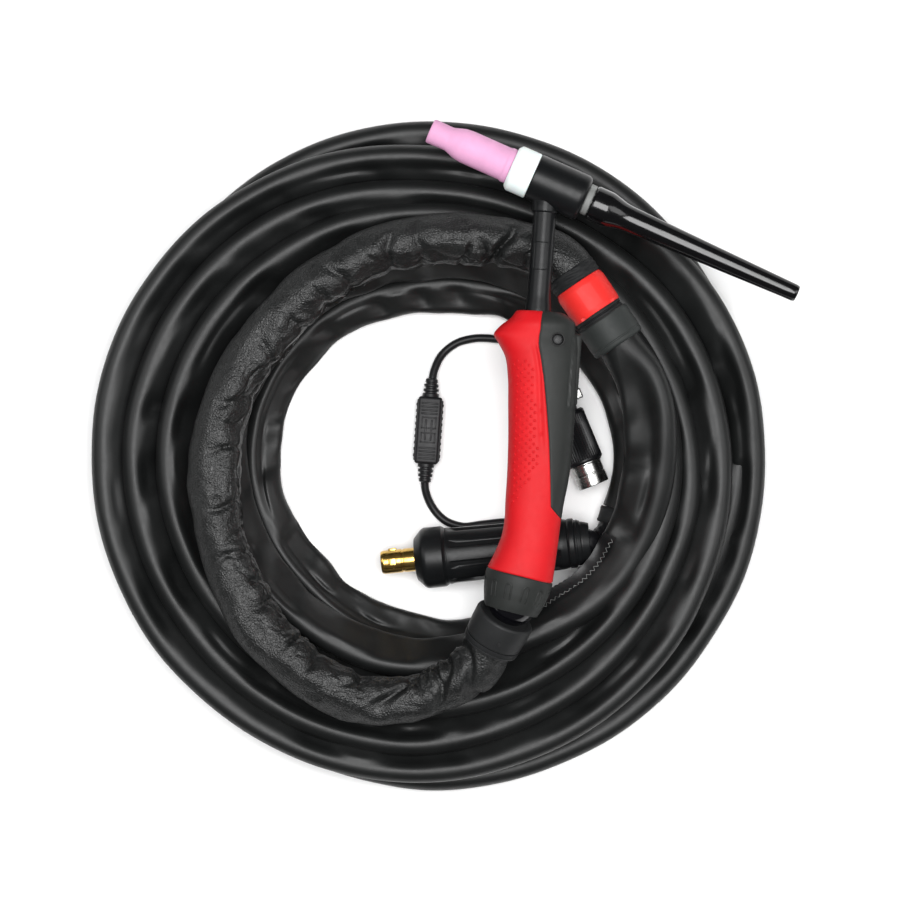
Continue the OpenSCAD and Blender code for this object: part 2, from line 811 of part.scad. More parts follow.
module control_plug_shell() {
    color("silver") control_axis() difference() {
        union() {
            translate([0, 0, 27]) cylinder(r = 7.4, h = 14);
            translate([0, 0, 40]) cylinder(r = 9.4, h = 1.2);
            translate([0, 0, 41]) cylinder(r = 8.6, h = 12.5);
        }
        translate([0, 0, 26]) cylinder(r = 6.6, h = 16);
        translate([0, 0, 41]) cylinder(r = 7.8, h = 20);
        translate([-10.5, -1.5, 50]) cube([4, 3, 6]);
    }
}

module control_plug_insert() {
    color("#5a2a24") control_axis() difference() {
        translate([0, 0, 41]) cylinder(r = 7.8, h = 9.5);
        for (a = [0:72:288]) rotate([0, 0, a]) translate([4.6, 0, 40]) cylinder(r = 0.8, h = 12);
    }
}

module control_plug_pins() {
    color("#d0b070") control_axis() for (a = [0:72:288]) rotate([0, 0, a])
        translate([4.6, 0, 38]) cylinder(r = 0.8, h = 14.5);
}

module cable_clamp() {
    ear_in = 8.5;
    ear_out = 13;
    color("silver") control_axis() difference() {
        union() {
            translate([-5, -5.5, 0]) cube([10, 11, 7]);
            translate([-3.5, -ear_in, 1]) cube([7, ear_in + ear_out, 5]);
        }
        translate([0, 0, -1]) cylinder(r = control_d / 2 + fit, h = 9);
        for (y = [-6.8, 6.8]) translate([-5, y, 3.5]) rotate([0, 90, 0]) cylinder(r = 1, h = 10);
    }
}

module clamp_screws() {
    color("gray") control_axis() for (y = [-6.8, 6.8]) translate([-3.4, y, 3.5]) rotate([0, 90, 0]) {
        cylinder(r = 1, h = 6.9);
        translate([0, 0, -1.4]) cylinder(r = 1.25, h = 1.2);
        translate([0, 0, -0.5]) cylinder(r = 1, h = 1);
    }
}

// ---- assembly ----

head_core();
head_insulation();
rear_insulator();
collet_body();
collet();
heat_shield_ring();
nozzle();
back_cap_o_ring();
back_cap();
neck_tube();
neck_sleeve();
cable_adapter();
handle_cable();
handle_shell_top();
handle_shell_bottom();
grip_top();
grip_bottom();
handle_screw();
trigger_button();
trigger_switch();
switch_wires();
swivel_socket();
ball_liner();
swivel_ball();
hose_sleeve();
leather_clamp_ring();
swivel_cable();
leather_hose();
leather_cuff();
coupling_ring();
groove_ring();
sheath_collar();
coupling_cable();
sheath_run();
hose_coil();
sheath_inner_turn();
end_cuff();
power_lead();
plug_boot();
plug_housing();
plug_pin();
plug_ferrule();
plug_grub_screw();
control_lead();
inline_module();
module_reliefs();
control_plug_body();
coupling_nut();
control_plug_shell();
control_plug_insert();
control_plug_pins();
cable_clamp();
clamp_screws();
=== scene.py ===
"""Looks of the TIG torch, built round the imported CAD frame. Lengths in the helpers are in mm."""

import json
import math

import bmesh
import bpy
import numpy as np
from mathutils import Matrix, Vector


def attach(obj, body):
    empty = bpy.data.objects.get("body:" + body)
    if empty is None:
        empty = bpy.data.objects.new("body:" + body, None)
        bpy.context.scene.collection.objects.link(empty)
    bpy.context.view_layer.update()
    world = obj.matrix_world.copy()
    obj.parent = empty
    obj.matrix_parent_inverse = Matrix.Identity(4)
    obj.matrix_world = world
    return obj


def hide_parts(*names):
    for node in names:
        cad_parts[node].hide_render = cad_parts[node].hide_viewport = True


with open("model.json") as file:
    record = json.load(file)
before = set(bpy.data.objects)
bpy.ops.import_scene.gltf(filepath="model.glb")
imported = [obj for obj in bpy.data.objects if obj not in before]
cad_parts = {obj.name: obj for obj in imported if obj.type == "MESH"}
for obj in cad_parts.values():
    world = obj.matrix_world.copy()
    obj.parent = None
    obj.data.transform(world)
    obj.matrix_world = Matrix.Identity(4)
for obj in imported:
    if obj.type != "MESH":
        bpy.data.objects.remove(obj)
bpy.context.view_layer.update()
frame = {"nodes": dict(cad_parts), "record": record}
nodes = frame["nodes"]

MM = 0.001
FLOOR = -72.0
COIL = np.array([-51.5, -149.0])
HEAD_ANGLE = 160
UP = np.array([0.0, 0.0, 1.0])


# ---- numbers ----

def unit(v):
    v = np.asarray(v, float)
    return v / np.linalg.norm(v)


def smooth01(x):
    x = np.clip(x, 0, 1)
    return x * x * (3 - 2 * x)


def lattice(i, j, seed):
    """A fixed value from -1 to 1 at each lattice point."""
    n = np.sin(i * 127.1 + j * 311.7 + seed * 74.7) * 43758.5453
    return 2 * (n - np.floor(n)) - 1


def noise2(x, y, seed):
    """Smooth noise in two directions, from about -1 to 1."""
    xi, yi = np.floor(x), np.floor(y)
    u, v = smooth01(x - xi), smooth01(y - yi)
    low = lattice(xi, yi, seed) * (1 - u) + lattice(xi + 1, yi, seed) * u
    high = lattice(xi, yi + 1, seed) * (1 - u) + lattice(xi + 1, yi + 1, seed) * u
    return low * (1 - v) + high * v


def hermite(keys, values, at):
    """Smooth curve through values at rising keys, read at the points at."""
    keys, values, at = (np.asarray(v, float) for v in (keys, values, at))
    flat = values.ndim == 1
    if flat:
        values = values[:, None]
    h = np.diff(keys)
    d = np.diff(values, axis=0) / h[:, None]
    m = np.empty_like(values)
    m[1:-1] = (d[1:] * h[:-1, None] + d[:-1] * h[1:, None]) / (h[:-1] + h[1:])[:, None]
    m[0], m[-1] = d[0], d[-1]
    i = np.clip(np.searchsorted(keys, at, side="right") - 1, 0, len(h) - 1)
    t = ((at - keys[i]) / h[i])[:, None]
    k = h[i][:, None]
    out = ((2 * t**3 - 3 * t**2 + 1) * values[i] + (t**3 - 2 * t**2 + t) * m[i] * k
           + (3 * t**2 - 2 * t**3) * values[i + 1] + (t**3 - t**2) * m[i + 1] * k)
    return out[:, 0] if flat else out


def even_steps(path, step):
    """The same path and its other columns, at even steps of its length."""
    s = np.concatenate([[0], np.cumsum(np.linalg.norm(np.diff(path[:, :3], axis=0), axis=1))])
    at = np.linspace(0, s[-1], int(round(s[-1] / step)) + 1)
    return np.stack([np.interp(at, s, path[:, k]) for k in range(path.shape[1])], axis=1), at


def route(points, step):
    """A smooth curve through points, at even steps."""
    p = np.array(points, float)
    keys = np.concatenate([[0], np.cumsum(np.linalg.norm(np.diff(p[:, :3], axis=0), axis=1))])
    fine = hermite(keys, p, np.linspace(0, keys[-1], 24 * len(p)))
    return even_steps(fine, step)


# ---- meshes ----

def make(name, verts, faces, material, body, replaces=(), sharp=38, closed=True):
    """A mesh from points in mm, riding on a body."""
    mesh = bpy.data.meshes.new(name)
    mesh.from_pydata([tuple(v) for v in np.asarray(verts, float) * MM], [], faces)
    obj = bpy.data.objects.new(name, mesh)
    bpy.context.scene.collection.objects.link(obj)
    return finish_mesh(obj, material, body, replaces, sharp, closed)


def finish_mesh(obj, material, body, replaces=(), sharp=38, closed=True):
    """Clean normals, smooth faces with sharp edges by angle, finish, body and replaced nodes."""
    bm = bmesh.new()
    bm.from_mesh(obj.data)
    bmesh.ops.remove_doubles(bm, verts=bm.verts, dist=1e-6)
    if closed:
        bmesh.ops.recalc_face_normals(bm, faces=bm.faces)
    limit = math.radians(sharp)
    for f in bm.faces:
        f.smooth = True
    for e in bm.edges:
        e.smooth = not (len(e.link_faces) == 2 and e.calc_face_angle(0) > limit)
    bm.to_mesh(obj.data)
    bm.free()
    obj.data.materials.clear()
    obj.data.materials.append(MATS[material])
    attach(obj, body)
    if replaces:
        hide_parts(*replaces)
    return obj


def grid_faces(rows, cols, offset=0, wrap=True):
    faces = []
    for i in range(rows - 1):
        for k in range(cols if wrap else cols - 1):
            a = offset + i * cols + k
            b = offset + i * cols + (k + 1) % cols
            faces.append((a, b, b + cols, a + cols))
    return faces


def closing_faces(rows, cols):
    """Faces from the last row of a grid back to its first."""
    last = (rows - 1) * cols
    return [(last + k, last + (k + 1) % cols, (k + 1) % cols, k) for k in range(cols)]


def sweep(path, section):
    """A tube: section(i) gives the points (side, up) of ring i. Rings stand upright on the path."""
    t = np.gradient(path, axis=0)
    t /= np.linalg.norm(t, axis=1)[:, None]
    side = np.cross(t, UP)
    side /= np.linalg.norm(side, axis=1)[:, None]
    up = np.cross(side, t)
    verts = path[:, None, :] + section[:, :, 0:1] * side[:, None, :] + section[:, :, 1:2] * up[:, None, :]
    rows, cols = section.shape[:2]
    faces = grid_faces(rows, cols)
    faces.append(tuple(range(cols))[::-1])
    faces.append(tuple((rows - 1) * cols + k for k in range(cols)))
    return verts.reshape(-1, 3), faces


def axis_frame(origin, direction, up=UP):
    """Matrix in mm: z along direction, x as near to up as it can be."""
    z = unit(direction)
    x = np.asarray(up, float) - np.dot(up, z) * z
    x = unit(x)
    y = np.cross(z, x)
    m = np.eye(4)
    m[:3, 0], m[:3, 1], m[:3, 2], m[:3, 3] = x, y, z, origin
    return m


def placed(points, m):
    points = np.asarray(points, float)
    return points @ m[:3, :3].T + m[:3, 3]


# ---- materials ----

MATS = {}


def material(name, colour, rough, metal=0.0, spread=0.12, mottle=60.0, rough_spread=0.08,
             bumps=(), coat=0.0, spec=0.22, subsurface=0.0):
    """A procedural finish. bumps are (kind, scale, height in mm, strength)."""
    m = bpy.data.materials.new(name)
    m.use_nodes = True
    tree = m.node_tree
    tree.nodes.clear()
    new = tree.nodes.new
    link = tree.links.new
    out = new("ShaderNodeOutputMaterial")
    bsdf = new("ShaderNodeBsdfPrincipled")
    link(bsdf.outputs[0], out.inputs[0])
    bsdf.inputs["Metallic"].default_value = metal
    bsdf.inputs["Specular IOR Level"].default_value = spec
    bsdf.inputs["Coat Weight"].default_value = coat
    bsdf.inputs["Coat Roughness"].default_value = 0.1
    if subsurface:
        bsdf.inputs["Subsurface Weight"].default_value = subsurface
        bsdf.inputs["Subsurface Scale"].default_value = 0.003
    coord = new("ShaderNodeTexCoord")
    large = new("ShaderNodeTexNoise")
    large.inputs["Scale"].default_value = mottle
    large.inputs["Detail"].default_value = 5
    large.inputs["Roughness"].default_value = 0.62
    link(coord.outputs["Object"], large.inputs["Vector"])
    ramp = new("ShaderNodeValToRGB")
    ramp.color_ramp.elements[0].position = 0.3
    ramp.color_ramp.elements[1].position = 0.7
    ramp.color_ramp.elements[0].color = (*[c * (1 - spread) for c in colour], 1)
    ramp.color_ramp.elements[1].color = (*[min(1, c * (1 + spread)) for c in colour], 1)
    link(large.outputs["Fac"], ramp.inputs["Fac"])
    link(ramp.outputs["Color"], bsdf.inputs["Base Color"])
    fine = new("ShaderNodeTexNoise")
    fine.inputs["Scale"].default_value = mottle * 7
    fine.inputs["Detail"].default_value = 3
    link(coord.outputs["Object"], fine.inputs["Vector"])
    span = new("ShaderNodeMapRange")
    span.inputs["To Min"].default_value = max(0.02, rough - rough_spread)
    span.inputs["To Max"].default_value = min(1, rough + rough_spread)
    link(fine.outputs["Fac"], span.inputs["Value"])
    link(span.outputs["Result"], bsdf.inputs["Roughness"])
    last = None
    for kind, scale, height, strength in bumps:
        if kind == "noise":
            tex = new("ShaderNodeTexNoise")
            tex.inputs["Detail"].default_value = 4
            source = tex.outputs["Fac"]
        elif kind == "cracks":
            tex = new("ShaderNodeTexVoronoi")
            tex.feature = "DISTANCE_TO_EDGE"
            source = tex.outputs["Distance"]
        else:
            tex = new("ShaderNodeTexWave")
            tex.inputs["Distortion"].default_value = 1.5
            source = tex.outputs["Fac"]
        tex.inputs["Scale"].default_value = scale
        link(coord.outputs["Object"], tex.inputs["Vector"])
        bump = new("ShaderNodeBump")
        bump.inputs["Strength"].default_value = strength
        bump.inputs["Distance"].default_value = height * MM
        link(source, bump.inputs["Height"])
        if last is not None:
            link(last.outputs["Normal"], bump.inputs["Normal"])
        last = bump
    if last is not None:
        link(last.outputs["Normal"], bsdf.inputs["Normal"])
    MATS[name] = m
    return m


FINE = ("noise", 1800, 0.05, 0.25)
MOULD = ("noise", 900, 0.06, 0.35)
material("brass", (0.52, 0.34, 0.11), 0.26, metal=1, spread=0.2, mottle=120,
         bumps=[("noise", 1500, 0.03, 0.25)])
material("copper", (0.62, 0.30, 0.17), 0.3, metal=1, spread=0.2, mottle=140,
         bumps=[("noise", 1500, 0.03, 0.25)])
material("steel", (0.42, 0.42, 0.41), 0.3, metal=1, spread=0.12, mottle=160, bumps=[("noise", 1500, 0.02, 0.2)])
material("overmould_black", (0.005, 0.0055, 0.006), 0.36, spread=0.2, bumps=[MOULD])
material("insulator_grey", (0.20, 0.205, 0.20), 0.5, spread=0.06, bumps=[MOULD])
material("ptfe_white", (0.80, 0.87, 0.86), 0.42, spread=0.03, bumps=[MOULD], subsurface=0.1)
material("alumina_pink", (0.67, 0.335, 0.53), 0.6, spread=0.07, mottle=90, bumps=[("noise", 1300, 0.05, 0.4)])
material("cap_black", (0.003, 0.003, 0.0034), 0.2, spread=0.2, bumps=[("noise", 250, 0.05, 0.12)], coat=0.4)
material("seal_black", (0.02, 0.02, 0.02), 0.4, bumps=[FINE])
material("shell_grey", (0.018, 0.0195, 0.0185), 0.52, spread=0.1, bumps=[("noise", 2200, 0.06, 0.5)])
material("grip_red", (0.54, 0.0055, 0.0095), 0.58, spread=0.06, bumps=[("noise", 2000, 0.06, 0.45)])
material("screw_black", (0.018, 0.018, 0.019), 0.45, spec=0.3, bumps=[FINE])
material("switch_black", (0.02, 0.02, 0.022), 0.45, bumps=[FINE])
material("wire_red", (0.45, 0.03, 0.03), 0.4, bumps=[FINE])
material("cable_black", (0.03, 0.03, 0.032), 0.5, bumps=[FINE])
material("liner_ivory", (0.60, 0.57, 0.50), 0.45, bumps=[FINE])
material("ball_black", (0.003, 0.003, 0.004), 0.14, spread=0.2, bumps=[("noise", 300, 0.03, 0.12)], coat=0.5)
material("sleeve_grey", (0.014, 0.0145, 0.015), 0.5, spread=0.1, bumps=[("noise", 1600, 0.07, 0.5)])
material("leather_black", (0.006, 0.0065, 0.0065), 0.42, spread=0.4, mottle=90, rough_spread=0.14, spec=0.42,
         bumps=[("cracks", 700, 0.5, 0.8), ("noise", 1100, 0.25, 0.6), ("noise", 240, 0.5, 0.3)])
material("cuff_black", (0.009, 0.0095, 0.010), 0.6, bumps=[("wave", 900, 0.1, 0.5), MOULD])
material("coupling_red", (0.68, 0.024, 0.020), 0.5, spread=0.06, bumps=[("noise", 1500, 0.07, 0.45)])
material("collar_grey", (0.026, 0.029, 0.028), 0.55, spread=0.1, bumps=[("noise", 1500, 0.07, 0.5)])
material("sheath_black", (0.0055, 0.006, 0.006), 0.46, spread=0.2, mottle=45, rough_spread=0.05, spec=0.36,
         bumps=[("noise", 1400, 0.05, 0.25), ("noise", 120, 0.4, 0.15)])
material("housing_black", (0.006, 0.0065, 0.007), 0.36, spread=0.2, bumps=[MOULD])
material("plug_brass", (0.58, 0.37, 0.10), 0.24, metal=1, spread=0.25, mottle=140,
         bumps=[("noise", 1200, 0.04, 0.3)])
material("lead_black", (0.006, 0.006, 0.007), 0.42, bumps=[MOULD])
material("module_black", (0.008, 0.008, 0.009), 0.42, bumps=[MOULD])
material("nut_black", (0.006, 0.006, 0.007), 0.36, bumps=[MOULD])
material("connector_chrome", (0.40, 0.40, 0.39), 0.26, metal=1, spread=0.2, bumps=[("noise", 600, 0.03, 0.2)])
material("insert_brown", (0.24, 0.10, 0.07), 0.4, bumps=[MOULD])
material("contact_gold", (0.75, 0.55, 0.22), 0.25, metal=1, bumps=[FINE])
# Pale grey for the line along the sheath's outer edge: a painted highlight
material("edge_highlight_grey", (0.06, 0.062, 0.06), 0.5, bumps=[FINE])
material("stitch_pale", (0.16, 0.165, 0.16), 0.6, bumps=[FINE])

# ---- camera, floor and light ----

camera = bpy.data.objects.new("camera", bpy.data.cameras.new("camera"))
bpy.context.scene.collection.objects.link(camera)
camera.location = (-0.0413, -0.1447, 1.428)
camera.rotation_euler = (0, 0, math.radians(4))
camera.data.sensor_width = 36
camera.data.lens = 107.98
bpy.context.scene.camera = camera


def plain(name, colour, rough):
    m = bpy.data.materials.new(name)
    m.use_nodes = True
    b = m.node_tree.nodes["Principled BSDF"]
    b.inputs["Base Color"].default_value = (*colour, 1)
    b.inputs["Roughness"].default_value = rough
    b.inputs["Specular IOR Level"].default_value = 0.1
    return m


floor_mesh = bpy.data.meshes.new("floor")
half = 6.0
floor_mesh.from_pydata([(-half, -half, 0), (half, -half, 0), (half, half, 0), (-half, half, 0)],
                       [], [(0, 1, 2, 3)])
floor = bpy.data.objects.new("floor", floor_mesh)
floor.location = (0, 0, FLOOR * MM - 0.0004)
floor_mesh.materials.append(plain("pale_floor", (0.93, 0.93, 0.93), 0.9))
bpy.context.scene.collection.objects.link(floor)

world = bpy.data.worlds.new("studio")
bpy.context.scene.world = world
world.use_nodes = True
world.node_tree.nodes["Background"].inputs["Color"].default_value = (1, 1, 1, 1)
world.node_tree.nodes["Background"].inputs["Strength"].default_value = 0.07


def softbox(name, place, aim, size, watts):
    light = bpy.data.lights.new(name, "AREA")
    light.shape = "RECTANGLE"
    light.size, light.size_y = size
    light.energy = watts
    obj = bpy.data.objects.new(name, light)
    bpy.context.scene.collection.objects.link(obj)
    obj.location = place
    obj.rotation_euler = (Vector(aim) - Vector(place)).to_track_quat("-Z", "Y").to_euler()
    return obj


softbox("softbox_top", (-0.05, -0.12, 1.9), (-0.05, -0.15, 0), (1.1, 1.1), 46)
softbox("softbox_left", (-1.25, 0.15, 1.2), (-0.05, -0.15, 0), (0.8, 1.2), 8)
softbox("softbox_right", (1.15, 0.0, 1.3), (-0.05, -0.15, 0), (0.9, 1.2), 12)
bpy.context.scene.view_settings.view_transform = "Standard"
bpy.context.scene.view_settings.look = "None"

# ---- the sheath: down from the collar, five turns, two hidden turns, then the inner turn ----

TURN_ANGLES = [30, 0, 330, 300, 270, 240, 210, 180, 150, 120, 90, 60]
# Middle of each turn's band about the coil's centre, clockwise from the collar
TURNS = [
    [122, 117, 116, 109, 112, 112, 112, 114, 112, 110, 110, 115],
    [125, 128, 129, 131, 135, 137, 140, 141, 137, 133, 130, 130],
    [133, 139, 142, 147, 154, 157, 158, 159, 155, 149, 141, 143],
    [151, 156, 160, 164, 169, 172, 175, 176, 174, 168, 160, 164],
    [172, 175, 176, 176, 175, 172, 171, 171, 172, 175, 176, 176],
    [172, 167, 163, 161, 159, 157, 156, 155, 154, 153, 152, 150],
    [147, 144, 142, 140, 139, 137, 136, 135, 134, 133, 132.5, 132],
]
# Height of the round outer side above the floor, for each turn
TURN_HEIGHTS = [
    None,
    [31.5, 33, 31, 29] + [28] * 7 + [27],
    [24, 25.5, 27] + [28] * 9,
    [28] * 11 + [27],
    [24, 17, 10] + [7.2] * 9,
    [9] + [10.5] * 11,
    [10.5] * 12,
]
RUN = [
    (44, -79.5, -22), (49, -87, -22.5), (56, -98, -23.5), (61.5, -113, -25.5), (64.5, -130, -29),
    (65, -148, -33), (63, -166, -37), (58.5, -183, -40.5), (51.5, -199, -43.5), (42, -212, -46),
]
INNER_TURN = [
    (335, 126), (318, 114), (300, 104), (275, 98), (250, 94), (225, 91), (200, 92), (175, 92),
    (150, 91), (125, 90), (100, 88), (80, 91), (62, 96), (45, 101), (30, 106), (15, 109), (0, 110), (348, 108),
]
BULGE = 6.5


def sheath_keys():
    """Rows: unwrapped angle, radius and height of the round side, radius of it, of the thin side,
    distance between them and the drop from one to the other."""
    rows = []

    def add(angle, radius, height, bulge, thin, width, drop):
        while rows and angle > rows[-1][0]:
            angle -= 360
        rows.append((angle, radius, height, bulge, thin, width, drop))

    for i, (x, y, z) in enumerate(RUN[:-1]):
        dx, dy = x - COIL[0], y - COIL[1]
        k = smooth01(i / 3)
        width = 1.5 + 15 * k
        bulge = 10.8 - 3.4 * k
        add(math.degrees(math.atan2(dy, dx)), math.hypot(dx, dy) + width / 2, z - FLOOR + 1.5 * k,
            bulge, 10.8 - 6.6 * k, width, 3.0 * k)
    for turn, (radii, heights) in enumerate(zip(TURNS, TURN_HEIGHTS)):
        for k, (angle, radius) in enumerate(zip(TURN_ANGLES, radii)):
            if turn == 0 and k < 3:
                continue
            height = 28.0 if heights is None else heights[k]
            on_floor = height < 11
            drop = min(8.5, height - 3.2)
            add(angle, radius + 9 - BULGE, height, BULGE, 2.6 if not on_floor else 2.8,
                18 if turn else 15, drop)
    for i, (angle, radius) in enumerate(INNER_TURN):
        if i == 0:
            add(angle, radius + 3.5, 9.5, BULGE, 3.0, 16, 5)
            continue
        end = smooth01((i - 13) / 4)
        width = 10.5 * (1 - end) + 0.8 * end
        add(angle, radius + width / 2 + 0.5, 7.4 * (1 - end) + 10 * end, 6.9 * (1 - end) + 9.6 * end,
            4.4 * (1 - end) + 9.6 * end, width, 2.6 * (1 - end))
    return np.array(rows)


def sheath_mesh():
    keys = sheath_keys()
    along = -keys[:, 0]
    at = np.arange(along[0], along[-1], 0.5)
    rows = hermite(along, keys[:, 1:], at)
    angle = np.radians(-at)
    width, drop = rows[:, 4], rows[:, 5]
    flat = np.sqrt(np.maximum(width**2 - drop**2, 0.01))
    radius = rows[:, 0] - flat / 2
    height = rows[:, 1] - drop / 2
    centre = np.stack([COIL[0] + radius * np.cos(angle), COIL[1] + radius * np.sin(angle),
                       FLOOR + height], axis=1)
    packed, s = even_steps(np.hstack([centre, rows[:, 2:6], flat[:, None], angle[:, None]]), 3.0)
    path = packed[:, :3]
    bulge, thin, width, drop, flat, angle = packed[:, 3:].T
    # The outline is walked once: round side, lower line, thin side, upper line
    shares = np.concatenate([np.linspace(-1, 1, 17), np.linspace(1, 2, 6)[1:], np.linspace(2, 3, 7)[1:],
                             np.linspace(3, 4, 12)[1:-1]])
    tilt = np.arctan2(drop, flat)
    turn_over = np.arccos(np.clip(-(bulge - thin) / np.maximum(width, 0.5), -0.98, 0.98))
    outline = np.zeros((len(path), len(shares), 2))
    upper = np.zeros((len(path), len(shares)))
    for k, share in enumerate(shares):
        big = share <= 1
        line_down = 1 < share < 2
        small = 2 <= share <= 3
        if big:
            a, r, c = -share * turn_over, bulge, np.full_like(bulge, 0.5)
        elif line_down:
            w = share - 1
            a, r, c = -turn_over, bulge * (1 - w) + thin * w, 0.5 - w
        elif small:
            w = share - 2
            a, r, c = -turn_over - w * 2 * (math.pi - turn_over), thin, np.full_like(bulge, -0.5)
        else:
            w = share - 3
            a, r, c = turn_over, thin * (1 - w) + bulge * w, w - 0.5
        x = c * width + r * np.cos(a)
        z = r * np.sin(a)
        outline[:, k, 0] = x * np.cos(tilt) - z * np.sin(tilt)
        outline[:, k, 1] = x * np.sin(tilt) + z * np.cos(tilt)
        upper[:, k] = smooth01((np.sin(a) + 0.2) / 0.8)
    # Creases on the slack side, where the bend presses the cover together
    x = outline[:, :, 0]
    across = (x + flat[:, None] / 2 + 3) / (flat[:, None] + 6)
    slack = smooth01((0.78 - across) / 0.20) * upper
    sgrid = s[:, None] + 0 * x
    slant = sgrid + 0.45 * x
    wave = noise2(slant / 22, 0 * x + 3, 1) + 0.7 * noise2(slant / 11, x / 14, 2)
    pits = np.minimum(0, wave - 0.05) * 5.2 + 1.6 * np.maximum(0, wave - 0.05)
    scallop = noise2((sgrid + 0.3 * x) / 30, 0 * x + 6, 7)
    pits -= 3.4 * np.maximum(0, scallop - 0.10) * np.exp(-(((across - 0.62) / 0.11) ** 2))
    amount = smooth01((s - 25) / 60)[:, None] * smooth01((s[-1] - s - 25) / 60)[:, None]
    down = pits * slack * amount
    soft = 0.35 * noise2(sgrid / 17, x / 9, 3) * upper * amount
    outline[:, :, 1] += np.clip(down, -4.2, 1.4) + soft
    outline[:, :, 0] += (0.5 * noise2(sgrid / 34, 0 * x + 8, 4) * smooth01(across)
                         + np.maximum(down, -3) * 0.12) * amount
    inner_edge = smooth01((0.25 - across) / 0.25)
    outline[:, :, 0] += inner_edge * 1.4 * noise2(sgrid / 17, 0 * x, 5) * amount
    # The dent just after the collar
    dent = np.exp(-(((sgrid - 34) / 20) ** 2)) * np.exp(-(((x + 1) / 7) ** 2)) * upper
    outline[:, :, 1] -= 3.2 * dent
    # side runs to the right of the path, which is towards the coil's centre when it winds clockwise
    section = np.stack([-outline[:, :, 0], outline[:, :, 1]], axis=2)
    verts, faces = sweep(path, section)
    verts = np.asarray(verts, float)
    verts[:, 2] = np.maximum(verts[:, 2], FLOOR + 0.1)
    edge = verts[:len(path) * len(shares)].reshape(len(path), len(shares), 3)[:, 8]
    obj = make("main_sheath", verts, faces, "sheath_black", "hose_package",
               ["sheath_run", "hose_coil", "sheath_inner_turn"], sharp=75)
    return obj, path, s, edge


sheath, sheath_path, sheath_s, sheath_edge = sheath_mesh()
print("sheath length mm", sheath_s[-1])

# ---- the leather hose ----

STEM_ANGLE, STEM_DIP = math.radians(247), math.radians(20)
SOCKET_ANGLE = 260
BALL_DEPTH = 14.5
SOCKET = np.array([0.1, -208.2, 0])
SOCKET_TURN = math.radians(SOCKET_ANGLE)
BALL = SOCKET + BALL_DEPTH * np.array([math.cos(SOCKET_TURN), math.sin(SOCKET_TURN), 0])
STEM = np.array([math.cos(STEM_DIP) * math.cos(STEM_ANGLE), math.cos(STEM_DIP) * math.sin(STEM_ANGLE),
                 -math.sin(STEM_DIP)])
LEATHER_Z = FLOOR + 35 + 14.2
LEATHER = [
    BALL + 20.7 * STEM, BALL + 29 * STEM, (-19.5, -259, -14), (-28, -267, -18), (-40, -274, -21.5),
    *[(x, y, LEATHER_Z) for x, y in (
        (-54, -279), (-70, -281.5), (-87, -280), (-104, -273), (-123, -260), (-140, -242), (-154, -218),
        (-164, -188), (-167, -157), (-162.5, -127), (-151, -101), (-134, -77), (-113, -56.5), (-87, -40.5),
        (-60, -32.5), (-34, -30), (-10, -32.3), (5, -36.2),
    )],
    (14.6, -42.2, LEATHER_Z + 0.9), (17.4, -45.8, LEATHER_Z + 0.9),
]


